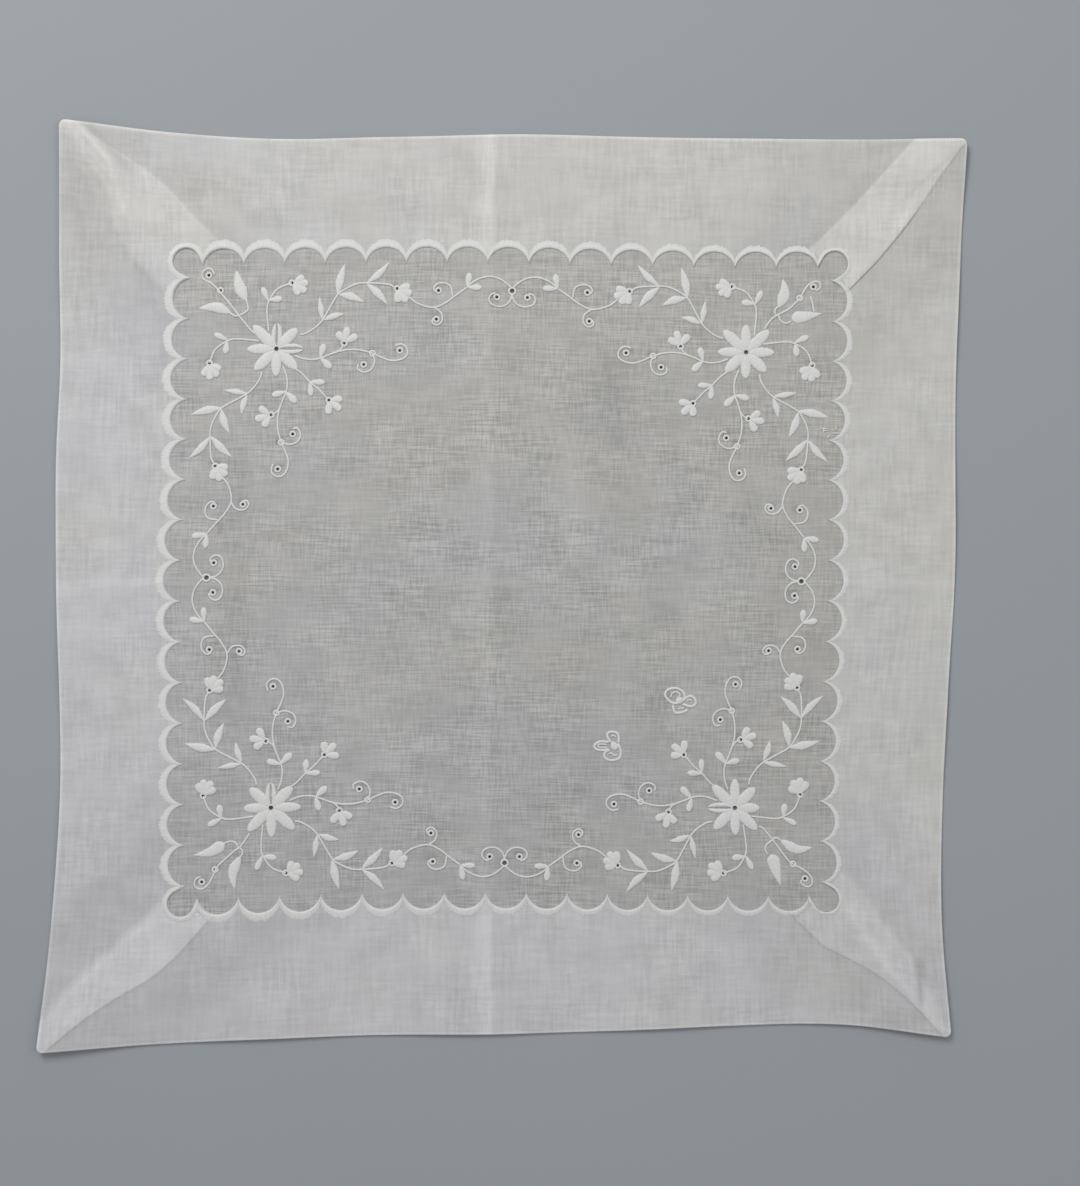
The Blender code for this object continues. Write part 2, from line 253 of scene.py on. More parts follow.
# How a satin pad swells and narrows along its length: the share at which it reaches its full
# width and the power it does so with, the share at which it starts to narrow, and the two powers
# of its narrowing
PETAL_FORM = (0.25, 0.6, 0.55, 2.1, 0.62)
LOBE_FORM = (0.5, 0.55, 0.7, 2.4, 0.5)
BUD_FORM = (0.6, 0.62, 0.62, 2.0, 0.6)
POINTED_FORM = (0.42, 0.7, 0.4, 1.6, 0.9)
BROAD_FORM = (0.34, 0.6, 0.34, 1.6, 0.85)
WEDGE_FORM = (0.16, 0.5, 0.25, 1.45, 1.0)
ROUND_FORM = (0.5, 0.5, 0.5, 2.0, 0.5)

# The two cloths' slubs in millimetres and where their noise is read, how much of the pattern is
# warp and how much is clouds, their colours, the field's greys being partly painted shade of the
# floor seen through its sheer weave, the strength of the painted light that makes them paler on a
# crease's ridge and of the painted shade that darkens them in a trough, and how much painted shade
# darkens them low down
FIELD_WEAVE = {
    "weft": {"along_u": 13.0, "along_v": 0.75, "at": 0.0},
    "warp": {"along_u": 0.72, "along_v": 7.5, "at": 31.0},
    "warp_share": 0.46,
    "cloud_share": 0.2,
    # Partly the lawn's own white and partly painted shade of the floor seen through the sheer weave
    "thin": (0.34, 0.34, 0.335),
    "close": (0.58, 0.58, 0.575),
    "cool": (0.995, 0.993, 1.018),
    "warm": (1.014, 1.0, 0.95),
    "pressed": 0.08,
    "low": 0.945,
}
HEM_WEAVE = {
    "weft": {"along_u": 12.0, "along_v": 1.5, "at": 0.0},
    "warp": {"along_u": 1.4, "along_v": 13.0, "at": 31.0},
    "warp_share": 0.6,
    "cloud_share": 0.4,
    "thin": (0.505, 0.505, 0.5),
    "close": (0.655, 0.655, 0.65),
    "cool": (0.99, 0.988, 1.03),
    "warm": (1.01, 1.0, 0.962),
    "pressed": 0.17,
    "low": 1.0,
}
# The finer layer of slubs, against the main one: size, strength and where its noise is read
FINE_SLUBS = {"along_u": 0.45, "along_v": 0.6, "share": 0.33, "at": 5.0}

# Both cloths' patches of stronger slubs, clouds of closer weave and slow tint: the noise's size in
# millimetres, its detail, where it is read, apart so that they differ, and the range of it that
# is spread out, with the range that it is spread over
PATCHES = {"size": (22.0, 17.0), "detail": 2.0, "at": 23.0, "from": (0.35, 0.65), "to": (0.5, 1.35)}
CLOUDS = {"size": (13.0, 10.0), "detail": 4.0, "at": 7.0, "from": (0.3, 0.7), "to": (0.0, 1.0)}
TINT = {"size": (44.0, 36.0), "detail": 3.0, "at": 13.0, "from": (0.72, 1.28), "to": (0.0, 1.0)}
# How much of the way to the warm end is across the cloth, how much of the way to the bottom right
# corner, which painted shade darkens, is down it, and where along that way the painted shade starts
# and ends
WARM_ACROSS = 0.45
SHADE_DOWN = 0.65
SHADE_FROM = 0.3
SHADE_TO = 0.72

# Where the hem's mitres start and end, the two sides of the painted shadow line along a mitre's
# seam, and the pale line along the fold with its strength; then what the hem's colour is multiplied
# by there: over the mitres, in the painted shade around them, in the painted shadow on the seam
# and on the fold
MITRE_EDGE = (-0.25 * MM, 0.45 * MM)
SEAM_SHADOW_OUTER = (-0.5 * MM, -0.2 * MM)
SEAM_SHADOW_INNER = (-0.1 * MM, 0.15 * MM)
FOLD_LINE = (0.45 * MM, 1.1 * MM)
FOLD_LINE_SHARE = 0.9
MITRE_TONE = (1.3, 1.3, 1.295, 1)
MITRE_SHADE_TONE = (0.9, 0.9, 0.9, 1)
SEAM_SHADOW_TONE = (0.6, 0.6, 0.6, 1)
FOLD_TONE = (1.22, 1.22, 1.2, 1)

# The fine waves of threads, as Blender's wave scale: three a millimetre in the weave and one for
# each thread in the stitching, and how uneven they are. Then the distance and strength of each
# bump, and how high a mitre stands in the slubs'.
WEAVE_WAVES = 0.95
STITCH_WAVES = np.pi / 10
WAVE_UNEVENNESS = {"Distortion": 0.8, "Detail": 1.0, "Detail Scale": 0.6}
WEAVE_BUMP = (0.05 * MM, 0.35)
SLUB_BUMP = (0.16 * MM, 0.7)
STITCH_BUMP = (0.05 * MM, 0.6)
MITRE_BUMP = 1.5

# The finishes
LINEN_FINISH = {
    "Roughness": 0.82, "Specular IOR Level": 0.25, "Sheen Weight": 0.12, "Sheen Roughness": 0.5,
}
COTTON_FINISH = {
    "Roughness": 0.5, "Specular IOR Level": 0.35, "Sheen Weight": 0.2, "Sheen Roughness": 0.4,
}
FLOOR_FINISH = {"Roughness": 0.8, "Specular IOR Level": 0.2}
# The thread's white, how much darker some groups of threads are, the groups' size, and the colour
# to which the rim's stitches fade, with where they do and how much
COTTON_WHITE = (0.75, 0.75, 0.74)
COTTON_DARKER = 0.92
THREAD_GROUP = (1.6, 0.5)
COTTON_FADED = (0.62, 0.62, 0.615)
RIM_FADE = (0.52, 0.92, 0.0, 0.85)
# The floor's two shades, and half its side in metres
FLOOR_SHADES = ((0.33, 0.355, 0.38, 1), (0.35, 0.375, 0.40, 1))
FLOOR_HALF = 20.0

# Chance for the stitches' ragged ends, drawn in the order in which the pieces are made
STITCH_DRAW = np.random.default_rng(5)


def smooth_row(values, share):
    """Reads evenly spaced values at share, from -1 to 1, on a smooth curve through them all."""
    values = np.asarray(values, float)
    spans = len(values) - 1
    place = np.clip((np.asarray(share, float) + 1) / 2 * spans, 0, spans - 1e-9)
    first = place.astype(int)
    f = place - first
    row = np.concatenate(([2 * values[0] - values[1]], values, [2 * values[-1] - values[-2]]))
    a, b, c, d = row[first], row[first + 1], row[first + 2], row[first + 3]
    return b + 0.5 * f * (c - a + f * (2 * a - 5 * b + 4 * c - d + f * (3 * (b - c) + d - a)))


def ease(share):
    """A smooth step from 0 to 1."""
    share = np.clip(share, 0, 1)
    return share * share * (3 - 2 * share)


def drawn(across, along, low, high):
    """How far a point moves along one axis: by the scallops' offset at their line, by the
    edge's at the edge, and smoothly less towards the middle."""
    side = np.where(across < 0, -1.0, 1.0)
    share = along / HALF
    inner, outer = (
        np.where(across < 0, smooth_row(rows[low], share), smooth_row(rows[high], share))
        for rows in (SCALLOP_OFFSETS_MM, EDGE_OFFSETS_MM)
    )
    inner_share = ease(np.abs(across) / CUSP_HALF)
    outer_share = ease((np.abs(across) - CUSP_HALF) / (HALF - CUSP_HALF))
    return side * MM * (inner * inner_share + (outer - inner) * outer_share)


def lie(flat):
    """Moves flat points (u, v) to where they lie: x = u + skew times v + the drawing in of the
    left and right sides, and y = v + that of the bottom and top."""
    u, v = flat[..., 0], flat[..., 1]
    x = u + SKEW * v + drawn(u, v, "left", "right")
    y = v + drawn(v, u, "bottom", "top")
    return np.stack((x, y), axis=-1)


def hem_share(flat):
    """How far a point is through the hem: 0 at the scallops, 1 at the outer edge."""
    reach = np.max(np.abs(flat), axis=-1)
    return (reach - CUSP_HALF) / (HALF - CUSP_HALF)


def lift(flat):
    """How far the cloth stands off the floor: waves along its sides and raised corners."""
    u, v = flat[..., 0], flat[..., 1]
    upright = np.abs(u) > np.abs(v)
    along = np.where(upright, v, u)
    phase = np.where(upright, UPRIGHT_WAVE_PHASE * np.sign(u), LEVEL_WAVE_PHASE * np.sign(v))
    wave = 0.5 - 0.5 * np.cos(np.pi * WAVES_A_SIDE * along / HALF + phase)
    rise = WAVE_RISE * ease(hem_share(flat)) ** 2 * wave
    for row in CORNER_LIFTS:
        corner = np.array(row["corner"]) * HALF
        away = np.hypot(u - corner[0], v - corner[1])
        rise = rise + row["rise"] * ease(1 - away / CORNER_LIFT_REACH)
    return rise


def ridge(distance, width):
    """A soft ridge's height, 1 on its line: e to the power of minus (distance / width) squared."""
    return np.exp(-((distance / width) ** 2))


def folds(flat, rows):
    """Ridges along straight lines, each falling off with the distance from its line."""
    height = np.zeros(flat.shape[:-1])
    for row in rows:
        start, end = np.array(row["from_mm"]) * MM, np.array(row["to_mm"]) * MM
        run = end - start
        share = ((flat - start) @ run) / (run @ run)
        nearest = start + np.clip(share, 0, 1)[..., None] * run
        away = np.linalg.norm(flat - nearest, axis=-1)
        height = height + row["rise"] * ridge(away, row["width"])
    return height


def creases(flat):
    """The two pressed creases: a ridge across u and one across v, wider on its gentle side."""
    height = np.zeros(flat.shape[:-1])
    for i, row in enumerate((UPRIGHT_CREASE, LEVEL_CREASE)):
        away = flat[..., i] - row["at"]
        height = height + row["rise"] * ridge(away, np.where(away < 0, row["gentle"], row["steep"]))
    return height


def pressed(flat):
    """How much paler the cloth is painted on its ridges, as painted light, and darker in its
    troughs,
    as painted shade: the creases, soft folds and crinkles, each divided by its full rise. It is 1
    on the upright crease and below 0 in troughs."""
    soft = folds(flat, SOFT_FOLDS) / SOFT_FOLD_FULL
    return creases(flat) / UPRIGHT_CREASE["rise"] + soft + folds(lie(flat), CRINKLES) / CRINKLE_FULL


def undulation(flat):
    """The pressed creases, the soft folds and slow sine waves, fading out towards the edge."""
    u, v = flat[..., 0], flat[..., 1]
    height = folds(flat, SOFT_FOLDS) + creases(flat)
    for row in WAVES:
        along = u * np.cos(row["turn"]) + v * np.sin(row["turn"])
        height = height + row["rise"] * np.sin(2 * np.pi * along / row["length"] + row["phase"])
    return height * (1 - ease((hem_share(flat) - WAVES_FADE_FROM) / WAVES_FADE_OVER))


def cloth_level(flat):
    """The height of the middle of the cloth's under layer: the lift, the creases and waves, and
    the field's level, eased down to the edge's through the hem."""
    drop = (FIELD_LEVEL - EDGE_LEVEL) * ease(hem_share(flat))
    return lift(flat) + FIELD_LEVEL - drop + undulation(flat)


def mitre_gaps(flat, row):
    """How far points are along a mitre band's diagonal, how far inside its one and its other
    side, and their share of its length."""
    out = np.array(row["corner"]) / np.sqrt(2)
    along, across = flat @ out, flat @ np.array((out[1], -out[0]))
    inner = CUSP_HALF * np.sqrt(2) + MITRE_INNER_GAP
    length = HALF * np.sqrt(2) - MITRE_OUTER_GAP - inner
    share = (along - inner) / length
    one = across - smooth_row(row["one_side_mm"], 2 * share - 1) * MM
    other = smooth_row(row["other_side_mm"], 2 * share - 1) * MM - across
    return along, one, other, share


def mitre_depth(flat):
    """How far inside a mitre band's sides a point is, in metres, below 0 outside them and less on
    a soft side."""
    deepest = np.full(flat.shape[:-1], -1.0)
    for row in MITRE_BANDS:
        along, one, other, _ = mitre_gaps(flat, row)
        inside = np.minimum(one / row["soft"][0], other / row["soft"][1])
        deepest = np.maximum(deepest, np.minimum(inside, along - CUSP_HALF))
    return deepest


def mitre_tones(flat):
    """For each point, how pale the mitre of its corner is, how dark the painted shadow along the
    folded edge on the mitre's other side is, which fades out at its share of the length, and how
    strong the
    painted shade on the hem is: eased from the one side's amount to the other side's, and away with
    the distance from the mitre."""
    pale, seam, mitre_shade = np.zeros((3, *flat.shape[:-1]))
    for row in MITRE_BANDS:
        along, one, other, share = mitre_gaps(flat, row)
        here = along > HALF
        pale = np.where(here, row["pale"], pale)
        if row["seam"]:
            seam = np.where(here & (other < one), ease((row["seam"] - share) / SEAM_SHADOW_FADE), seam)
        side = ease(one / np.maximum(one + other, MITRE_SLOPE))
        amount = row["mitre_shade"][0] + (row["mitre_shade"][1] - row["mitre_shade"][0]) * side
        mitre_shade = np.maximum(mitre_shade, amount * ease(1 + np.minimum(one, other) / MITRE_SHADE_REACH))
    return pale, seam, mitre_shade


def front_level(flat):
    """The height of the middle of the hem's front layer: held close at the cut edge, a little
    puffed across the hem, folded round at the outer edge, and thicker over the mitres."""
    share = np.clip(hem_share(flat), 0, 1)
    u, v = flat[..., 0], flat[..., 1]
    ripples = np.sin(u / PUFF_LENGTHS[0]) + np.sin(v / PUFF_LENGTHS[1] + PUFF_PHASE)
    puff = 0.5 + 0.25 * ripples
    gap = CUT_EDGE_GAP + (FOLD_RADIUS - CUT_EDGE_GAP) * share
    gap = gap + HEM_PUFF * puff * np.sin(np.pi * share) ** 2
    mitre = MITRE_RISE * ease(mitre_depth(flat) / MITRE_SLOPE + 0.5)
    mitre = mitre + folds(lie(flat), CRINKLES)
    return cloth_level(flat) + gap + mitre * ease((1 - share) / FOLD_FADE)


def edge_points(distance, inset):
    """Points on the top side's outline and round the corner at its right: straight, a quarter of a
    circle and straight again, at a distance along it from the side's middle, and inset."""
    straight = HALF - CORNER_ROUND
    arc_length = np.pi / 2 * CORNER_ROUND
    angle = np.clip((distance - straight) / arc_length, 0, 1) * np.pi / 2
    radius = CORNER_ROUND - inset
    x = np.minimum(distance, straight) + radius * np.sin(angle)
    y = straight + radius * np.cos(angle) - np.maximum(distance - straight - arc_length, 0)
    return np.column_stack((x, y))


def four_sides(top):
    """The top side's points and the same turned by a quarter clockwise, three times."""
    sides = [top]
    for _ in range(3):
        last = sides[-1]
        sides.append(np.column_stack((last[:, 1], -last[:, 0])))
    return np.vstack(sides)


def box_middle():
    """The middle of the lying cloth's outline box."""
    length = HALF - CORNER_ROUND
    edge = lie(four_sides(edge_points(np.linspace(-length, length + CORNER_ROUND * 1.5, 240), 0.0)))
    return (edge.min(axis=0) + edge.max(axis=0)) / 2


MIDDLE = box_middle()


def placed(flat, height):
    """Points (x, y, z) where flat points lie, at that height, measured from the box's middle."""
    return np.concatenate((lie(flat) - MIDDLE, height[..., None]), axis=-1)


def arc(start, end, rise, steps):
    """Points on the round arc from start to end that stands rise off its chord, to the left of
    the way from start to end, without the end point."""
    start, end = np.array(start), np.array(end)
    chord = end - start
    half = np.hypot(*chord) / 2
    radius = (half * half + rise * rise) / (2 * rise)
    outwards = np.array((-chord[1], chord[0])) / (2 * half)
    centre = (start + end) / 2 + outwards * (rise - radius)
    spoke = start - centre
    turn = -2 * np.arctan2(half, radius - rise) * np.arange(steps) / steps
    return np.column_stack((
        centre[0] + spoke[0] * np.cos(turn) - spoke[1] * np.sin(turn),
        centre[1] + spoke[0] * np.sin(turn) + spoke[1] * np.cos(turn),
    ))


def run_along(line):
    """How far along a line each of its points is."""
    return np.concatenate(([0], np.cumsum(np.hypot(*np.diff(line, axis=0).T))))


def read_line(line, run, stops):
    """Points at the given distances along a line, on its straight pieces."""
    return np.column_stack((np.interp(stops, run, line[:, 0]), np.interp(stops, run, line[:, 1])))


def corner_lobe(cusp_out, lobe_out, steps):
    """The top right corner's lobe: even points along a tangent from the cusp on the top side,
    the round and the tangent to the cusp on the right side, whose point is left out."""
    centre = CUSP_HALF + CORNER_LOBE_REACH
    radius = CORNER_LOBE_RADIUS + CORNER_RIM_SHARE * lobe_out
    cusp = np.array((CUSP_HALF - CORNER_STEP, CUSP_HALF + cusp_out))
    away = cusp - centre
    touch = np.arctan2(away[1], away[0]) % (2 * np.pi) - np.arccos(radius / np.hypot(*away))
    turn = np.linspace(touch, np.pi / 2 - touch, steps)
    bend = centre + radius * np.column_stack((np.cos(turn), np.sin(turn)))
    line = np.vstack((cusp, bend, cusp[::-1]))
    run = run_along(line)
    return read_line(line, run, run[-1] * np.arange(steps) / steps)


def scallop_side(cusp_out, lobe_out, lobe_steps, corner_steps):
    """The top side's lobes and the corner lobe at its right: their middles stand lobe_out outside
    the cut edge and their cusps cusp_out outside the square of the lobes' ends."""
    level = CUSP_HALF + cusp_out
    rise = LOBE_RISE + lobe_out - cusp_out
    cusps = (np.arange(LOBES_A_SIDE + 1) - LOBES_A_SIDE / 2) * LOBE_PITCH
    lobes = [
        arc((start, level), (end, level), rise, lobe_steps)
        for start, end in zip(cusps[:-1], cusps[1:])
    ]
    return np.vstack([*lobes, corner_lobe(cusp_out, lobe_out, corner_steps)])


def grid_faces(rows, columns, wrap_rows=False, wrap_columns=False):
    """The quads of a grid of points numbered along its rows; a wrapped grid joins its last line
    to its first."""
    row, column = np.meshgrid(
        np.arange(rows if wrap_rows else rows - 1),
        np.arange(columns if wrap_columns else columns - 1),
        indexing="ij",
    )
    next_row, next_column = (row + 1) % rows, (column + 1) % columns
    corners = (
        row * columns + column,
        row * columns + next_column,
        next_row * columns + next_column,
        next_row * columns + column,
    )
    return np.stack(corners, axis=-1).reshape(-1, 4)


def new_piece(name, points, faces, material, uv_name, uv):
    """Makes an object from points, faces and each point's place on its UV map."""
    mesh = bpy.data.meshes.new(name)
    mesh.from_pydata(points.reshape(-1, 3).tolist(), [], [list(face) for face in faces])
    mesh.update()
    corners = np.empty(len(mesh.loops), int)
    mesh.loops.foreach_get("vertex_index", corners)
    layer = mesh.uv_layers.new(name=uv_name)
    layer.data.foreach_set("uv", uv.reshape(-1, 2)[corners].astype(np.float32).ravel())
    mesh.shade_smooth()
    mesh.materials.append(material)
    piece = bpy.data.objects.new(name, mesh)
    bpy.context.scene.collection.objects.link(piece)
    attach(piece, "root")
    return piece


def cloth_uv(flat):
    """Flat points as shares of the cloth's sides, from 0 to 1."""
    return flat / (2 * HALF) + 0.5


def keep_number(piece, name, values):
    """Stores one number a point on the piece for its material to read."""
    attribute = piece.data.attributes.new(name, "FLOAT", "POINT")
    attribute.data.foreach_set("value", values.ravel().astype(np.float32))


def thicken(piece, thickness):
    """Gives an open sheet its thickness, half to each side."""
    solid = piece.modifiers.new("cloth thickness", "SOLIDIFY")
    solid.thickness = thickness
    solid.offset = 0.0


def add_node(tree, kind, settings, inputs, output=0):
    """Adds a shader node and returns one of its outputs. An input that is a socket is linked, and
    any other value is set."""
    node = tree.nodes.new(kind)
    for key, value in settings.items():
        setattr(node, key, value)
    for key, value in inputs.items():
        if isinstance(value, bpy.types.NodeSocket):
            tree.links.new(value, node.inputs[key])
        else:
            node.inputs[key].default_value = value
    return node.outputs[output]


def maths(tree, operation, first, second, third=1.0):
    """One Math node; the third number is the one that MULTIPLY_ADD adds."""
    inputs = {0: first, 1: second, 2: third}
    return add_node(tree, "ShaderNodeMath", {"operation": operation}, inputs)


def spread(tree, value, low, high, to_low, to_high):
    """Maps a value from the range low to high onto to_low to to_high, clamped."""
    ends = {"From Min": low, "From Max": high, "To Min": to_low, "To Max": to_high}
    return add_node(tree, "ShaderNodeMapRange", {}, {"Value": value, **ends})


def mixed(tree, share, first, second, how="MIX"):
    """Mixes two colours by share."""
    settings = {"data_type": "RGBA", "blend_type": how}
    return add_node(tree, "ShaderNodeMix", settings, {0: share, 6: first, 7: second}, 2)


def stretched_noise(tree, place, size, detail, at=0.0):
    """Noise whose grains are about size millimetres along u and v, read from its own place."""
    moves = {"Scale": (1 / size[0], 1 / size[1], 1.0), "Location": (at, at, 0)}
    moved = add_node(tree, "ShaderNodeMapping", {}, {"Vector": place, **moves})
    inputs = {"Vector": moved, "Scale": 1.0, "Detail": detail}
    return add_node(tree, "ShaderNodeTexNoise", {"noise_dimensions": "2D"}, inputs)


def bumped(tree, height, distance, strength, before=None):
    """A Bump node over the one before it."""
    inputs = {"Height": height, "Distance": distance, "Strength": strength}
    if before is not None:
        inputs["Normal"] = before
    return add_node(tree, "ShaderNodeBump", {}, inputs)


def number(tree, name):
    """A number that the piece keeps at each of its points."""
    return add_node(tree, "ShaderNodeAttribute", {"attribute_name": name}, {}, "Fac")


def thread_waves(tree, place, scale, direction):
    """Nearly even waves across the threads that run along the other direction."""
    settings = {"wave_type": "BANDS", "bands_direction": direction}
    inputs = {"Vector": place, "Scale": scale, **WAVE_UNEVENNESS}
    return add_node(tree, "ShaderNodeTexWave", settings, inputs, "Fac")


def mixed_number(tree, share, first, second):
    """Mixes two numbers by a fixed share."""
    kept = maths(tree, "MULTIPLY", first, 1 - share)
    return maths(tree, "ADD", kept, maths(tree, "MULTIPLY", second, share))


def spread_noise(tree, place, row):
    """A row's noise, with the row's range of it spread out."""
    noise = stretched_noise(tree, place, row["size"], row["detail"], row["at"])
    return spread(tree, noise, *row["from"], *row["to"])


def slub_lines(tree, place, along_u, along_v, at):
    """Slubs of one thread direction, as two layers of long noise, the finer a third as strong."""
    fine_size = (FINE_SLUBS["along_u"] * along_u, FINE_SLUBS["along_v"] * along_v)
    main = stretched_noise(tree, place, (along_u, along_v), 1.5, at)
    fine = stretched_noise(tree, place, fine_size, 1.0, at + FINE_SLUBS["at"])
    main = spread(tree, main, 0.38, 0.62, 0, 1)
    fine = spread(tree, fine, 0.35, 0.65, 0, 1)
    return mixed_number(tree, FINE_SLUBS["share"], main, fine)


def new_material(name, finish):
    """A material with that finish, and its tree and shader."""
    material = bpy.data.materials.new(name)
    material.use_nodes = True
    shader = material.node_tree.nodes["Principled BSDF"]
    for socket, value in finish.items():
        shader.inputs[socket].default_value = value
    return material, material.node_tree, shader


def hem_colour(tree, colour, mitre, mitre_share):
    """The hem's colour: paler over the mitres, darker around them with painted shade, dark on the
    seam beside them with a painted shadow of the folded edge, and palest on its fold."""
    pale_share = maths(tree, "MULTIPLY", mitre_share, number(tree, "mitre_pale"))
    colour = mixed(tree, pale_share, colour, MITRE_TONE, "MULTIPLY")
    # Painted shade on the hem around the mitres
    colour = mixed(tree, number(tree, "mitre_shade"), colour, MITRE_SHADE_TONE, "MULTIPLY")
    # A painted shadow line along the folded edge of a mitre's seam
    seam_out = spread(tree, mitre, *SEAM_SHADOW_OUTER, 0.0, 1.0)
    seam_in = spread(tree, mitre, *SEAM_SHADOW_INNER, 1.0, 0.0)
    seam_line = maths(tree, "MULTIPLY", seam_out, seam_in)
    seam_share = maths(tree, "MULTIPLY", seam_line, number(tree, "seam"))
    colour = mixed(tree, seam_share, colour, SEAM_SHADOW_TONE, "MULTIPLY")
    fold_share = spread(tree, number(tree, "fold_distance"), *FOLD_LINE, FOLD_LINE_SHARE, 0.0)
    return mixed(tree, fold_share, colour, FOLD_TONE, "MULTIPLY")


def linen(name, weave, hem):
    """Linen lawn, read from the cloth's flat millimetres. Slubs along both threads, stronger in
    patches, and clouds of closer weave pull the colour from thin to close; in the field these greys
    are partly the lawn's own white and partly painted shade of the floor seen through the sheer
    weave. A slow tint turns it from warm at the top right to cool at the bottom left, painted shade
    darkens it towards the bottom right by the weave's amount, painted light makes it paler on the
    ridges of creases, folds and crinkles and painted shade darker in their troughs. Fine waves of
    both threads and the slubs make the bump, and the hem's mitres stand up in it."""
    material, tree, shader = new_material(name, LINEN_FINISH)
    uv = add_node(tree, "ShaderNodeUVMap", {"uv_map": "cloth"}, {})
    size = 2 * HALF / MM
    place = add_node(tree, "ShaderNodeMapping", {}, {"Vector": uv, "Scale": (size, size, 1.0)})
    weft = slub_lines(tree, place, **weave["weft"])
    warp = slub_lines(tree, place, **weave["warp"])
    patches = spread_noise(tree, place, PATCHES)
    slubs = maths(tree, "SUBTRACT", mixed_number(tree, weave["warp_share"], weft, warp), 0.5)
    slubs = maths(tree, "ADD", maths(tree, "MULTIPLY", slubs, patches), 0.5)
    clouds = spread_noise(tree, place, CLOUDS)
    closeness = mixed_number(tree, weave["cloud_share"], slubs, clouds)
    colour = mixed(tree, closeness, (*weave["thin"], 1), (*weave["close"], 1))
    slow = stretched_noise(tree, place, TINT["size"], TINT["detail"], TINT["at"])
    across = add_node(tree, "ShaderNodeSeparateXYZ", {}, {"Vector": uv}, "X")
    height = add_node(tree, "ShaderNodeSeparateXYZ", {}, {"Vector": uv}, "Y")
    diagonal = mixed_number(tree, WARM_ACROSS, height, across)
    diagonal_down = mixed_number(tree, SHADE_DOWN, across, maths(tree, "SUBTRACT", 1.0, height))
    warm_share = spread(tree, maths(tree, "ADD", diagonal, slow), *TINT["from"], *TINT["to"])
    tint = mixed(tree, warm_share, (*weave["cool"], 1), (*weave["warm"], 1))
    colour = mixed(tree, 1.0, colour, tint, "MULTIPLY")
    # Painted shade, darker towards the bottom right
    low = spread(tree, diagonal_down, SHADE_FROM, SHADE_TO, 1.0, weave["low"])
    # Painted light on the ridges of creases, folds and crinkles and painted shade in their troughs
    paler = maths(tree, "MULTIPLY_ADD", number(tree, "pressed"), weave["pressed"])
    inputs = {0: colour, "Scale": maths(tree, "MULTIPLY", paler, low)}
    colour = add_node(tree, "ShaderNodeVectorMath", {"operation": "SCALE"}, inputs)
    bump_height = slubs
    if hem:
        mitre = number(tree, "mitre_depth")
        mitre_share = spread(tree, mitre, *MITRE_EDGE, 0.0, 1.0)
        colour = hem_colour(tree, colour, mitre, mitre_share)
        bump_height = maths(tree, "ADD", slubs, maths(tree, "MULTIPLY", mitre_share, MITRE_BUMP))
    tree.links.new(colour, shader.inputs["Base Color"])
    threads = (thread_waves(tree, place, WEAVE_WAVES, direction) for direction in "XY")
    threads = maths(tree, "ADD", *threads)
    normal = bumped(tree, threads, *WEAVE_BUMP)
    normal = bumped(tree, bump_height, *SLUB_BUMP, normal)
    tree.links.new(normal, shader.inputs["Normal"])
    return material


def thread_white(name, shade, faded=None):
    """White embroidery cotton: the stitches' waves run along the piece's own map, whose u counts
    threads, and each few threads differ a little in shade. With faded, the stitches' ends, at
    high v, turn to that colour."""
    material, tree, shader = new_material(name, COTTON_FINISH)
    uv = add_node(tree, "ShaderNodeUVMap", {"uv_map": "thread"}, {})
    uneven = stretched_noise(tree, uv, THREAD_GROUP, 2.0)
    low = tuple(COTTON_DARKER * c for c in shade)
    share = spread(tree, uneven, 0.3, 0.7, 0.0, 1.0)
    colour = mixed(tree, share, (*low, 1), (*shade, 1))
    if faded is not None:
        across = add_node(tree, "ShaderNodeSeparateXYZ", {}, {"Vector": uv}, "Y")
        colour = mixed(tree, spread(tree, across, *RIM_FADE), colour, (*faded, 1))
    tree.links.new(colour, shader.inputs["Base Color"])
    normal = bumped(tree, thread_waves(tree, uv, STITCH_WAVES, "X"), *STITCH_BUMP)
    tree.links.new(normal, shader.inputs["Normal"])
    return material


FIELD_LINEN = linen("field_linen", FIELD_WEAVE, False)
HEM_LINEN = linen("hem_linen", HEM_WEAVE, True)
STITCH_COTTON = thread_white("stitch_cotton", COTTON_WHITE)
RIM_COTTON = thread_white("rim_cotton", COTTON_WHITE, COTTON_FADED)


# The embroidery, in millimetres. A corner's motif is drawn for the top left corner, from the
# middle of its flower: a to the right and b downwards. Mirrored, it serves all four corners, and
# what is marked as paired is also mirrored about the corner's diagonal.
FLOWER_FROM_MIDDLE = 76.7 * MM
EMBROIDERY_STRETCH = 1.012
SIDE_MIDDLE = (76.7, -19.65)
# How far each corner's motif is off its regular place; what lies between corners takes a share
MOTIF_SHIFTS = (
    {"corner": (-1, 1), "by_mm": (0.8, 0.2)},
    {"corner": (1, 1), "by_mm": (0.5, 0.6)},
    {"corner": (1, -1), "by_mm": (0.7, 0.3)},
    {"corner": (-1, -1), "by_mm": (0.1, 0.95)},
)

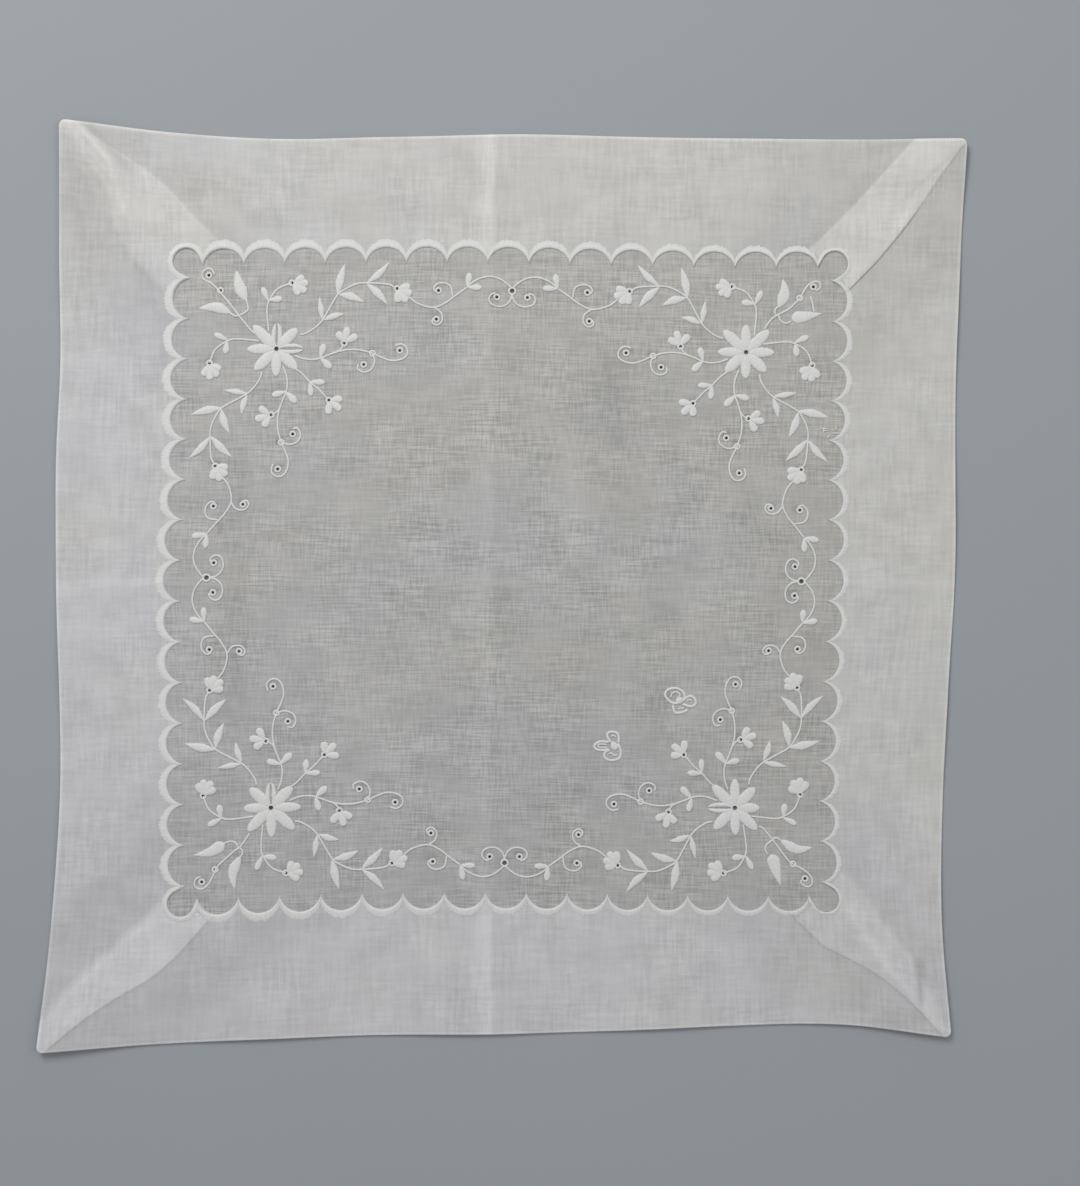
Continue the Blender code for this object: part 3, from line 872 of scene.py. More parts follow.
# How far the embroidery along each side is pulled along it, to the right or upwards, and inwards,
# in millimetres at even stations
SIDE_PULLS = (
    {
        "side": (0, 1),
        "along_mm": (0.0, 0.0, 0.0, -0.6, 0.6, 2.3, 0.3, 0.0, 0.0),
        "inwards_mm": (0.0, 0.0, 0.0, 0.5, 0.7, 0.6, 0.2, 0.0, 0.0),
    },
    {
        "side": (1, 0),
        "along_mm": (0.0, 0.0, 0.0, 0.7, -0.6, 0.0, 0.0, 0.0, 0.0),
        "inwards_mm": (0.0, 0.0, 0.2, 0.6, 0.4, 0.8, 0.0, 0.0, 0.0),
    },
    {
        "side": (0, -1),
        "along_mm": (0.0, 0.0, 0.25, -0.8, -0.9, 0.0, 0.0, 0.0, 0.0),
        "inwards_mm": (0.0, 0.0, 0.05, 0.8, 0.3, 0.7, 0.2, 0.0, 0.0),
    },
    {
        "side": (-1, 0),
        "along_mm": (0.0, 0.0, 0.0, -0.2, 0.5, 1.0, 0.2, 0.0, 0.0),
        "inwards_mm": (0.0, 0.0, 0.0, 0.6, -0.4, 0.9, 0.0, 0.0, 0.0),
    },
)

PAIRED_STEMS = (
    ((-2.7, -5.5), (-3.4, -13.1), (-2.7, -16.2), (0.0, -20.0), (4.6, -21.9)),
    (
        (7.6, -4.7), (9.9, -5.3), (13.0, -7.3), (15.2, -9.6), (17.0, -12.7), (20.1, -18.0),
        (22.8, -20.0), (26.3, -21.6), (29.9, -22.0), (37.0, -21.6), (39.7, -20.2),
    ),
    ((43.7, -17.6), (46.8, -15.3), (51.7, -14.0), (55.7, -15.6), (58.8, -18.0), (62.5, -20.7)),
    ((57.9, -17.6), (57.4, -20.7), (55.7, -22.0), (53.4, -22.0), (51.9, -20.6), (52.3, -19.0)),
    ((52.1, -14.0), (54.3, -12.2), (54.6, -9.6), (53.0, -8.2), (51.5, -9.0), (51.8, -10.6)),
    (
        (5.9, 2.2), (9.0, 3.3), (12.1, 3.6), (14.8, 3.1), (17.4, 2.0), (20.5, 0.9), (23.7, 0.2),
        (27.7, 0.2), (32.1, 1.3), (35.2, 2.7), (38.3, 3.7), (41.4, 3.3), (43.4, 1.8),
        (43.4, -0.4), (41.7, -1.8), (39.4, -1.3),
    ),
    ((32.1, 1.3), (32.8, 4.0), (31.7, 6.7), (29.4, 7.7), (27.2, 6.7), (27.4, 4.9)),
    ((19.8, 1.1), (21.6, 0.0), (22.6, -1.8)),
)
SINGLE_STEMS = (
    ((4.8, 5.0), (6.3, 6.7), (8.5, 8.4), (11.2, 11.3), (13.9, 13.6), (16.8, 16.8)),
)
GARLAND_STEMS = (
    (
        (-14.2, -1.0), (-13.0, -2.3), (-11.4, -3.4), (-9.2, -4.3), (-6.6, -4.6), (-3.7, -3.8),
        (-1.3, -2.1), (0.0, -0.8),
    ),
    (
        (0.0, 0.9), (-0.5, 3.0), (-2.1, 4.7), (-4.2, 5.2), (-6.4, 4.5), (-7.3, 2.9), (-6.6, 1.3),
        (-5.0, 0.7),
    ),
)
# A leaf is its line from base to tip, its width and its form
PAIRED_LEAVES = (
    (((-3.0, -15.9), (-5.3, -20.6)), 2.2, BUD_FORM),
    (((-2.9, -16.2), (1.6, -16.8)), 2.4, BUD_FORM),
    (((15.2, -9.6), (13.9, -17.3)), 2.2, POINTED_FORM),
    (((15.6, -9.6), (19.3, -11.1), (22.5, -11.7)), 2.4, POINTED_FORM),
    (((20.1, -18.0), (20.9, -23.1), (22.3, -28.2)), 3.1, POINTED_FORM),
    (((20.5, -18.2), (25.0, -17.4), (29.0, -15.7)), 2.9, POINTED_FORM),
    (((29.9, -22.0), (34.0, -25.1), (37.4, -28.9)), 2.6, POINTED_FORM),
    (((29.9, -21.8), (33.9, -18.4), (37.0, -14.9)), 2.9, POINTED_FORM),
    (((62.5, -20.5), (63.3, -25.6)), 2.3, BUD_FORM),
    (((62.4, -20.7), (67.2, -20.7)), 2.2, BUD_FORM),
    (((14.6, 3.1), (15.9, -1.7)), 2.4, BUD_FORM),
    (((14.6, 2.9), (18.4, 6.5)), 2.6, BUD_FORM),
)
SINGLE_LEAVES = (
    (((11.0, 11.2), (16.2, 11.3)), 2.2, BUD_FORM),
    (((11.1, 11.1), (11.4, 16.1)), 2.2, BUD_FORM),
)
# Each corner's own spray, between its flower and the corner: a stem that curls round an eyelet,
# then its stalks, that eyelet and the one on the stem, and a big leaf on each side
SPRAYS = (
    {
        "corner": (-1, 1),
        "stems": (
            (
                (-6.8, -5.0), (-8.8, -6.6), (-12.2, -10.8), (-16.8, -16.5), (-21.3, -21.5),
                (-24.2, -23.2), (-25.2, -25.0), (-24.0, -26.7), (-22.2, -26.8), (-21.0, -24.9),
            ),
            ((-12.4, -11.3), (-10.4, -12.4), (-9.6, -13.4), (-10.3, -16.6)),
            ((-12.6, -11.4), (-13.6, -11.0), (-14.9, -11.7), (-15.9, -12.6)),
        ),
        "eyelets": ((-22.9, -24.7), (-18.9, -19.6)),
        "leaves": (
            (((-10.3, -16.1), (-12.7, -21.0), (-13.9, -26.2)), 4.3, BROAD_FORM),
            (((-15.4, -12.2), (-20.3, -14.1), (-25.8, -13.8)), 3.9, BROAD_FORM),
        ),
    },
    {
        "corner": (1, 1),
        "stems": (
            (
                (-5.9, -7.6), (-7.7, -10.3), (-9.5, -12.0), (-12.0, -13.3), (-14.3, -14.6),
                (-16.2, -16.4), (-17.8, -18.0), (-19.4, -20.9), (-21.0, -22.7), (-22.8, -23.5),
                (-24.3, -23.0), (-24.3, -21.3), (-22.8, -20.3),
            ),
            ((-10.1, -12.3), (-9.5, -13.3), (-9.8, -14.6), (-11.0, -15.4)),
            ((-10.6, -12.5), (-11.5, -10.5), (-13.0, -9.7), (-15.0, -10.4)),
            ((-22.3, -13.2), (-21.9, -16.0), (-21.3, -18.7)),
        ),
        "eyelets": ((-22.2, -21.7), (-17.7, -18.0)),
        "leaves": (
            (((-10.8, -15.0), (-12.7, -19.6), (-12.3, -24.4)), 4.1, BROAD_FORM),
            (((-14.9, -11.3), (-19.2, -11.9), (-24.9, -12.9)), 4.3, WEDGE_FORM),
        ),
    },
    {
        "corner": (1, -1),
        "stems": (
            (
                (-7.7, -6.0), (-9.4, -6.8), (-12.4, -10.6), (-14.8, -14.0), (-17.1, -17.2),
                (-18.7, -18.5), (-21.1, -19.8), (-23.3, -21.3), (-24.6, -23.1), (-24.6, -25.2),
                (-23.0, -26.0), (-21.3, -25.1), (-21.0, -23.6),
            ),
            ((-12.4, -10.6), (-10.4, -12.0), (-9.7, -13.7), (-10.6, -15.6)),
            ((-12.2, -10.4), (-13.6, -9.8), (-15.4, -10.9)),
        ),
        "eyelets": ((-22.4, -23.3), (-18.7, -18.5)),
        "leaves": (
            (((-11.9, -15.3), (-12.8, -20.2), (-14.3, -25.8)), 4.5, WEDGE_FORM),
            (((-14.9, -10.6), (-20.2, -13.6), (-25.4, -12.9)), 3.7, BROAD_FORM),
        ),
    },
    {
        "corner": (-1, -1),
        "stems": (
            (
                (-7.0, -8.2), (-8.8, -10.9), (-10.3, -12.8), (-12.0, -13.9), (-15.2, -16.6),
                (-17.6, -18.9), (-18.6, -20.7), (-20.2, -23.9), (-22.0, -25.8), (-24.0, -26.0),
                (-25.2, -24.6), (-24.7, -22.8), (-23.0, -22.0),
            ),
            ((-10.3, -12.8), (-9.5, -13.9), (-9.6, -15.2), (-10.5, -16.3)),
            ((-10.8, -13.2), (-11.4, -11.5), (-13.1, -10.7), (-15.8, -11.5)),
        ),
        "eyelets": ((-22.8, -23.8), (-18.4, -19.9)),
        "leaves": (
            (((-10.2, -15.8), (-12.7, -21.2), (-12.2, -26.6)), 3.8, BROAD_FORM),
            (((-15.2, -11.3), (-19.8, -14.0), (-25.4, -15.0)), 4.1, WEDGE_FORM),
        ),
    },
)
# A floret's lobes as turns from its heading and reaches, and their width; a floret is its base,
# its far side and its lobes
FLORET_START = 0.06
FULL_FLORET = {"lobes": ((-0.82, 0.84), (-0.28, 1.0), (0.28, 0.95), (0.8, 0.8)), "width": 0.49}
OPEN_FLORET = {"lobes": ((-0.85, 0.92), (0.05, 1.0), (0.84, 0.86)), "width": 0.5}
PAIRED_FLORETS = (
    (((5.0, -21.9), (10.2, -20.4)), FULL_FLORET),
    (((40.0, -20.2), (44.4, -16.9)), FULL_FLORET),
    (((22.9, -2.2), (23.9, -7.3)), OPEN_FLORET),
)
SINGLE_FLORETS = ((((17.4, 17.4), (21.2, 20.9)), OPEN_FLORET),)
PAIRED_EYELETS = (
    (4.6, -21.9), (40.0, -20.2), (53.4, -19.6), (52.8, -10.1), (32.1, 1.3), (41.1, 0.3),
    (29.2, 5.1), (22.6, -1.9),
)
SINGLE_EYELETS = ((17.4, 17.4),)
GARLAND_EYELETS = ((-4.8, 2.1),)

# Each flower's petals, from the right one anticlockwise, and those stitched in two halves
PETAL_START = 0.9
PETAL_WIDTHS = (3.5, 3.9)
FLOWERS = (
    {"corner": (-1, 1), "lengths": (9.0, 9.6, 8.7, 11.3, 9.8, 10.0, 9.3, 9.8), "halved": (0, 2)},
    {"corner": (1, 1), "lengths": (9.4, 10.7, 9.4, 10.5, 9.4, 9.5, 9.1, 9.5), "halved": ()},
    {"corner": (1, -1), "lengths": (8.5, 9.7, 9.9, 10.9, 9.3, 10.3, 9.3, 10.5), "halved": (4,)},
    {"corner": (-1, -1), "lengths": (9.9, 9.9, 8.6, 9.7, 9.0, 10.9, 10.0, 10.7), "halved": (2,)},
)

# The two stitched butterflies, where they lie, in millimetres: the lines of their wings and the
# fine lines inside them, and a body as two ends and a width
BUTTERFLIES = (
    {
        "wings": (
            (
                (57.0, -40.6), (54.5, -40.3), (52.6, -38.4), (52.5, -36.9), (53.9, -35.8),
                (56.3, -35.6), (58.3, -36.8), (58.8, -38.6), (58.0, -39.9),
            ),
            (
                (58.4, -39.6), (59.8, -38.4), (61.3, -38.3), (62.5, -39.8), (62.2, -41.0),
                (60.9, -41.6), (59.2, -41.2), (58.0, -40.8),
            ),
            (
                (54.9, -41.0), (55.2, -42.4), (55.6, -43.6), (57.2, -43.7), (58.6, -43.3),
                (60.0, -42.5),
            ),
        ),
        "fine": (
            ((54.2, -38.8), (54.7, -37.2), (56.2, -36.8), (57.3, -37.7), (56.6, -38.8)),
            ((59.3, -39.9), (60.4, -39.3), (61.4, -39.8)),
            ((56.4, -42.4), (57.6, -42.2), (58.8, -42.1)),
        ),
        "body": ((55.9, -40.5), (58.2, -38.9), 2.6),
    },
    {
        "wings": (
            (
                (34.4, -53.6), (33.2, -51.6), (33.5, -50.3), (34.9, -50.0), (36.5, -50.5),
                (37.0, -52.3), (36.7, -53.8),
            ),
            (
                (33.8, -53.4), (30.9, -53.2), (29.1, -54.2), (29.1, -55.4), (30.9, -56.1),
                (33.8, -55.8),
            ),
            (
                (34.2, -56.0), (32.6, -56.6), (32.2, -58.1), (33.2, -59.2), (35.2, -59.4),
                (37.2, -58.6), (37.6, -56.3), (36.7, -53.8),
            ),
        ),
        "fine": (
            ((34.3, -51.7), (35.1, -51.1), (36.0, -51.8)),
            ((33.2, -54.2), (30.6, -54.1), (30.1, -54.7), (30.8, -55.2), (33.2, -55.1)),
            ((33.3, -57.4), (34.6, -57.0), (35.4, -57.9), (36.5, -57.4)),
        ),
        "body": ((34.7, -53.2), (36.2, -56.0), 2.7),
    },
)
# A few stitches of mending near the right side's scallops
MENDING = (
    ((104.0, 50.4), (105.0, 50.5), (106.0, 50.4)), ((104.6, 49.9), (105.4, 49.8), (106.3, 49.7)),
    ((104.9, 50.8), (104.9, 49.8), (104.8, 48.9)), ((109.0, 51.4), (109.0, 50.6), (108.9, 49.9)),
    ((107.7, 49.0), (109.0, 49.0), (110.3, 49.0)), ((106.0, 47.3), (106.6, 47.9), (107.3, 48.4)),
)


def corner_place(points, corner, swapped=False):
    """A corner motif's millimetres as flat points in one of the four corners: swapped changes a
    and b over, which mirrors it about the corner's diagonal."""
    points = np.asarray(points, float) * MM
    if swapped:
        points = points[..., ::-1]
    flat = np.array(corner) * (FLOWER_FROM_MIDDLE - points) * EMBROIDERY_STRETCH
    reach = np.clip(flat / FLOWER_FROM_MIDDLE, -1, 1)
    shifted = flat
    for row in MOTIF_SHIFTS:
        share = (1 + row["corner"][0] * reach[..., 0]) * (1 + row["corner"][1] * reach[..., 1]) / 4
        shifted = shifted + share[..., None] * np.array(row["by_mm"]) * MM
    for row in SIDE_PULLS:
        out = np.array(row["side"])
        way = np.abs(out[::-1])
        share = np.clip(reach @ out, 0, 1) * MM
        station = flat @ way / HALF
        shifted = shifted + (share * smooth_row(row["along_mm"], station))[..., None] * way
        shifted = shifted - (share * smooth_row(row["inwards_mm"], station))[..., None] * out
    return shifted


def side_place(points, corner, swapped):
    """A garland's millimetres from the middle eyelet of its side, as flat points."""
    return corner_place(np.asarray(points, float) + SIDE_MIDDLE, corner, swapped)


def mover(move, corner, swapped=False):
    """The function that moves a motif's points to their place in that corner."""
    return lambda points: move(points, corner, swapped)


def every_place(paired, single, garland=(), spray_part=None):
    """Yields each row of a motif with the function that moves its points, in all its places:
    paired and garland rows eight times, single rows four times, and last the named part of each
    corner's own spray."""
    for corner in CORNERS:
        for swapped in (False, True):
            yield from ((row, mover(corner_place, corner, swapped)) for row in paired)
            yield from ((row, mover(side_place, corner, swapped)) for row in garland)
        yield from ((row, mover(corner_place, corner)) for row in single)
    for spray in SPRAYS if spray_part else ():
        yield from ((row, mover(corner_place, spray["corner"])) for row in spray[spray_part])


def through(points, step):
    """Even points step apart on a smooth curve through the given ones: Catmull-Rom spans, read
    finely and measured along."""
    points = np.asarray(points, float)
    share = np.linspace(-1, 1, CURVE_STEPS * (len(points) - 1) + 1)
    line = np.column_stack((smooth_row(points[:, 0], share), smooth_row(points[:, 1], share)))
    run = run_along(line)
    count = max(3, int(round(run[-1] / step)) + 1)
    return read_line(line, run, np.linspace(0, run[-1], count))


def beside(line):
    """The unit direction to the left of a line's way, at each of its points."""
    way = np.gradient(line, axis=0)
    way = way / np.linalg.norm(way, axis=1)[:, None]
    return np.column_stack((-way[:, 1], way[:, 0]))


def field_top(flat):
    """The height of the field's upper face."""
    return cloth_level(flat) + CLOTH_THICK / 2


def loft_on(line, offsets, heights):
    """Rings of points over a line on the field: at each of its points, a ring's points stand off
    to its left by their offsets, at their own heights over the cloth."""
    flat = line[:, None] + beside(line)[:, None] * offsets[..., None]
    return placed(flat, field_top(flat) + heights)


def stem(points, width=STEM_WIDTH):
    """An outline-stitched stem: a flattened tube whose rings swell and shrink by turns."""
    line = through(points, STEM_STEP)
    turn = np.arange(TUBE_SIDES) * 2 * np.pi / TUBE_SIDES
    swell = 1 + STEM_SWELL * (-1.0) ** np.arange(len(line))
    swell[[0, -1]] = STEM_END
    heights = STEM_RISE * (STEM_MIDDLE + (1 - STEM_MIDDLE) * np.sin(turn)[None] * swell[:, None])
    return loft_on(line, width / 2 * swell[:, None] * np.cos(turn), heights)


def swelling(share, form):
    """The share of its full width that a pad has at a share of its length: (share / full) to a
    power, at most 1, times (1 - ((share - narrowing) / the rest) to a power) to a power."""
    full, full_power, narrowing, fall_power, end_power = form
    past = np.clip((share - narrowing) / (1 - narrowing), 0, 1)
    return np.minimum(share / full, 1) ** full_power * (1 - past**fall_power) ** end_power


def satin_pad(line, width, form, span=(-1.0, 1.0)):
    """A satin-stitched pad over a line, or the span of it between two shares of its half width.
    Its height is its rise times (1 less across squared) to the dome's power. Stitches stand up by
    turns, and their ends are a little ragged on both sides."""
    swell = swelling(np.linspace(0.0, 1.0, len(line)), form)
    across = np.sin(np.linspace(-np.pi / 2, np.pi / 2, PAD_COLUMNS))
    within = (span[0] + span[1]) / 2 + (span[1] - span[0]) / 2 * across
    ends = STITCH_DRAW.uniform(-RAGGED, RAGGED, (len(line) // 2 + 1, 2))
    ends = ends.repeat(2, axis=0)[: len(line)]
    ragged = np.where(across < 0, ends[:, :1], ends[:, 1:]) * np.abs(across)
    half_width = width / 2 * swell[:, None] + SATIN_SPARE
    offsets = within * half_width + np.sign(across) * ragged * swell[:, None] ** 0.5
    stitches = 1 + RIDGE / SATIN_RISE * (-1.0) ** np.arange(len(line))
    dome = (1 - across**2 + 1e-9) ** DOME_POWER
    heights = SATIN_RISE * dome * (swell**0.4 * stitches)[:, None] - SATIN_SINK
    return loft_on(line, offsets, heights)


def petal(middle, angle, length, width, halved):
    """A flower petal, whole or in two halves with a slit between them."""
    way = np.array((np.cos(angle), np.sin(angle)))
    line = through((middle + way * PETAL_START * MM, middle + way * length), THREAD_PITCH / 2)
    spans = ((-1.0, -SLIT_HALF), (SLIT_HALF, 1.0)) if halved else ((-1.0, 1.0),)
    return [satin_pad(line, width, PETAL_FORM, span) for span in spans]


def floret(base, far, form):
    """A floret of satin lobes from near its base, each turned from the way to its far side, with
    its own share of that length, so that they fan out and run into each other."""
    run = far - base
    length, heading = np.hypot(*run), np.arctan2(run[1], run[0])
    pads = []
    for turn, reach in form["lobes"]:
        way = length * np.array((np.cos(heading + turn), np.sin(heading + turn)))
        line = through((base + FLORET_START * way, base + reach * way), THREAD_PITCH / 2)
        pads.append(satin_pad(line, form["width"] * length, LOBE_FORM))
    return pads


def eyelet(middle, hole, thread):
    """An overcast eyelet: a ring round its hole whose stitches swell and shrink by turns."""
    turn = np.arange(EYELET_STITCHES) * 2 * np.pi / EYELET_STITCHES
    section = np.arange(TUBE_SIDES) * 2 * np.pi / TUBE_SIDES
    swell = 1 + EYELET_SWELL * (-1.0) ** np.arange(EYELET_STITCHES)
    out = hole + thread - EYELET_TUCK + thread * np.cos(section)[None] * swell[:, None]
    flat = middle + out[..., None] * np.stack((np.cos(turn), np.sin(turn)), axis=-1)[:, None]
    rounded = (1 - EYELET_MIDDLE) * np.sin(section)[None] * swell[:, None]
    return placed(flat, field_top(flat) + EYELET_RISE * (EYELET_MIDDLE + rounded))


def stitched_piece(name, lofts, looped, material=STITCH_COTTON):
    """Joins lofts of rings into one piece. A looped loft runs round into its start, and any other
    is closed by a cap at each end. The map's u counts rings in pairs, a pair to a thread."""
    points, faces, uv = [], [], []
    count = 0
    for rings in lofts:
        rows, sides = rings.shape[:2]
        points.append(rings.reshape(-1, 3))
        faces += (grid_faces(rows, sides, looped, True) + count).tolist()
        if not looped:
            faces.append([count + i for i in reversed(range(sides))])
            faces.append([count + (rows - 1) * sides + i for i in range(sides)])
        along, across = np.meshgrid(np.arange(rows) / 2, np.arange(sides) / sides, indexing="ij")
        uv.append(np.stack((along, across), axis=-1).reshape(-1, 2))
        count += rows * sides
    return new_piece(name, np.vstack(points), faces, material, "thread", np.vstack(uv))


def eyelet_list():
    """Every eyelet's flat middle, the radius of its hole and that of its ring's thread. The
    larger ones are in the middle of each side's garland and of each flower."""
    places = every_place(PAIRED_EYELETS, SINGLE_EYELETS, GARLAND_EYELETS, "eyelets")
    rows = [(move(middle), EYELET_HOLE, EYELET_RING) for middle, move in places]
    for i, corner in enumerate(CORNERS):
        rows.append((side_place((0.0, 0.0), corner, i % 2 == 1), BIG_HOLE, EYELET_RING))
    for row in FLOWERS:
        rows.append((corner_place((0.0, 0.0), row["corner"]), BIG_HOLE, FLOWER_RING))
    return rows


def ground_cloth(eyelets):
    """The cloth's under layer: a square grid of points on the cloth, laid with lie and raised to
    cloth_level. At each eyelet the eight points round the nearest free grid point move onto the
    hole's circle, and the four quads between them are left out."""
    count = GROUND_CELLS + 1
    half = HALF - GROUND_INSET
    row = np.linspace(-half, half, count)
    step = row[1] - row[0]
    flat = np.stack(np.meshgrid(row, row), axis=-1)
    open_cells = np.zeros((count - 1, count - 1), bool)
    taken = np.zeros((count, count), bool)
    ring = ((1, 0), (1, 1), (0, 1), (-1, 1), (-1, 0), (-1, -1), (0, -1), (1, -1))
    for middle, hole, _ in eyelets:
        place = (middle + half) / step
        near = [np.round(place).astype(int) + way for way in ((0, 0), *ring)]
        near.sort(key=lambda spot: np.hypot(*(spot - place)))
        i, j = next(p for p in near if not taken[p[1] - 1 : p[1] + 2, p[0] - 1 : p[0] + 2].any())
        taken[j - 1 : j + 2, i - 1 : i + 2] = True
        for di, dj in ring:
            angle = np.arctan2(dj, di)
            way = np.array((np.cos(angle), np.sin(angle)))
            flat[j + dj, i + di] = middle + HOLE_SPARE * hole * way
        flat[j, i] = middle
        open_cells[j - 1 : j + 1, i - 1 : i + 1] = True
    faces = grid_faces(count, count)[~open_cells.ravel()]
    used, renumbered = np.unique(faces, return_inverse=True)
    flat = flat.reshape(-1, 2)[used]
    points = placed(flat, cloth_level(flat))
    faces = renumbered.reshape(-1, 4)
    piece = new_piece("ground_cloth", points, faces, FIELD_LINEN, "cloth", cloth_uv(flat))
    keep_number(piece, "pressed", pressed(flat))
    thicken(piece, CLOTH_THICK)
    return piece


def turned_hem():
    """The hem's front layer: rows from the cut scallops out to a nearly level line just past the
    lobes, on to the fold, round it on a half circle and a short way back beneath the cloth."""
    steps = (HEM_LOBE_STEPS, HEM_CORNER_STEPS)
    inner = four_sides(scallop_side(-CUSP_IN, 0.0, *steps))
    level_cusp = LOBE_RISE + LEVEL_OUT - LEVEL_BEND
    level_line = four_sides(scallop_side(level_cusp, LEVEL_OUT, *steps))
    lobes = LOBES_A_SIDE * HEM_LOBE_STEPS
    corner_end = 2 * (HALF - CORNER_ROUND) + np.pi / 2 * CORNER_ROUND - LAST_LOBE
    distance = np.concatenate((
        np.linspace(-LAST_LOBE, LAST_LOBE, lobes, endpoint=False),
        np.linspace(LAST_LOBE, corner_end, HEM_CORNER_STEPS, endpoint=False),
    ))
    outer = four_sides(edge_points(distance, FOLD_RADIUS))
    inner_shares = np.linspace(0, 1, HEM_INNER_ROWS, endpoint=False)
    outer_shares = np.linspace(0, 1, HEM_OUTER_ROWS)
    flats = [inner + (level_line - inner) * share for share in inner_shares]
    flats += [level_line + (outer - level_line) * share for share in outer_shares]
    levels = [front_level(flat) for flat in flats]
    edge_level = cloth_level(outer)
    for turn in np.linspace(np.pi / 2, -np.pi / 2, FOLD_STEPS)[1:]:
        flats.append(four_sides(edge_points(distance, FOLD_RADIUS * (1 - np.cos(turn)))))
        levels.append(edge_level + FOLD_RADIUS * np.sin(turn))
    for inset in RETURN_INSETS:
        flats.append(four_sides(edge_points(distance, inset)))
        levels.append(cloth_level(flats[-1]) - FOLD_RADIUS)
    flat, level = np.stack(flats), np.stack(levels)
    faces = grid_faces(len(flats), len(inner), False, True)
    piece = new_piece("turned_hem", placed(flat, level), faces, HEM_LINEN, "cloth", cloth_uv(flat))
    pale, seam, mitre_shade = mitre_tones(flat)
    numbers = {
        "pressed": pressed(flat), "mitre_depth": mitre_depth(flat), "mitre_pale": pale,
        "seam": seam, "mitre_shade": mitre_shade, "fold_distance": HALF - np.max(np.abs(flat), axis=-1),
    }
    for name, values in numbers.items():
        keep_number(piece, name, values)
    thicken(piece, CLOTH_THICK)
    return piece


def satin_scallops():
    """The satin stitching over the cut edge: rings across it from inside the edge, further in at
    the cusps, to where each stitch ends, with both sides tucked under the cloth. Stitches stand up
    by turns, so that every thread is a ridge, and step from the field up onto the hem at the cut
    edge."""
    steps = (RIM_LOBE_STEPS, RIM_CORNER_STEPS)
    cut = four_sides(scallop_side(-CUSP_IN, 0.0, *steps))
    inside = four_sides(scallop_side(-RIM_CUSP_IN, -RIM_LOBE_IN, *steps))
    outside = four_sides(scallop_side(RIM_CUSP_OUT, RIM_OUT, *steps))
    count = len(cut)
    ragged = RIM_RAGGED * STITCH_DRAW.uniform(-1, 1, count // 2).repeat(2)
    reach_in = 1 + cut @ np.array(CUSP_LEAN) / CUSP_HALF
    reach_out = 1 + ragged + cut @ np.array(RIM_LEAN) / CUSP_HALF
    start = cut + (inside - cut) * reach_in[:, None]
    end = cut + (outside - cut) * reach_out[:, None]
    cut_share = np.linalg.norm(cut - start, axis=1) / np.linalg.norm(end - start, axis=1)
    flat = start[:, None] + (end - start)[:, None] * RIM_ACROSS[:, None]
    stitches = 1 + RIM_RIDGE * (-1.0) ** np.arange(count)
    base = field_top(flat)
    hem = front_level(flat) + CLOTH_THICK / 2
    base = base + (hem - base) * ease((RIM_ACROSS - cut_share[:, None]) / RIM_STEP + 0.5)
    rings = placed(flat, base + RIM_RISE * RIM_PROFILE * stitches[:, None])
    return stitched_piece("satin_scallops", [rings], True, RIM_COTTON)


def flower_petals():
    """Eight petals in each corner's flower."""
    lofts = []
    for row in FLOWERS:
        middle = corner_place((0.0, 0.0), row["corner"])
        for i, length in enumerate(row["lengths"]):
            width = PETAL_WIDTHS[i % 2]
            lofts += petal(middle, i * np.pi / 4, length * MM, width * MM, i in row["halved"])
    return stitched_piece("flower_petals", lofts, False)


def leaves():
    """All the leaves; the big leaves' stalks are among the stems."""
    lofts = []
    for (line, width, form), move in every_place(PAIRED_LEAVES, SINGLE_LEAVES, (), "leaves"):
        lofts.append(satin_pad(through(move(line), THREAD_PITCH / 2), width * MM, form))
    return stitched_piece("leaves", lofts, False)


def florets():
    """All the florets."""
    lofts = []
    for (ends, form), move in every_place(PAIRED_FLORETS, SINGLE_FLORETS):
        lofts += floret(*move(ends), form)
    return stitched_piece("florets", lofts, False)


def stems():
    """All the stems, stalks and tendrils."""
    places = every_place(PAIRED_STEMS, SINGLE_STEMS, GARLAND_STEMS, "stems")
    return stitched_piece("stems", [stem(move(line)) for line, move in places], False)


def eyelet_rings(eyelets):
    """The overcast rings of all the eyelets."""
    return stitched_piece("eyelet_rings", [eyelet(*row) for row in eyelets], True)


def flat_of(place_mm):
    """Flat points whose place on the floor, from the cloth's middle, is given in millimetres."""
    wanted = np.asarray(place_mm, float) * MM
    flat = wanted.copy()
    for _ in range(6):
        flat = flat + wanted - lie(flat)
    return flat


def butterflies():
    """Two stitched butterflies: wings of corded lines with finer ones inside, and a satin body."""
    lofts = []
    for row in BUTTERFLIES:
        lofts += [stem(flat_of(line), WING_WIDTH) for line in row["wings"]]
        lofts += [stem(flat_of(line), VEIN_WIDTH) for line in row["fine"]]
        start, end, width = row["body"]
        line = through(flat_of(np.array((start, end))), THREAD_PITCH / 2)
        lofts.append(satin_pad(line, width * MM, ROUND_FORM))
    return stitched_piece("butterflies", lofts, False)


def mending():
    """A few darning stitches."""
    lofts = [stem(flat_of(line), MENDING_WIDTH) for line in MENDING]
    return stitched_piece("mending", lofts, False)


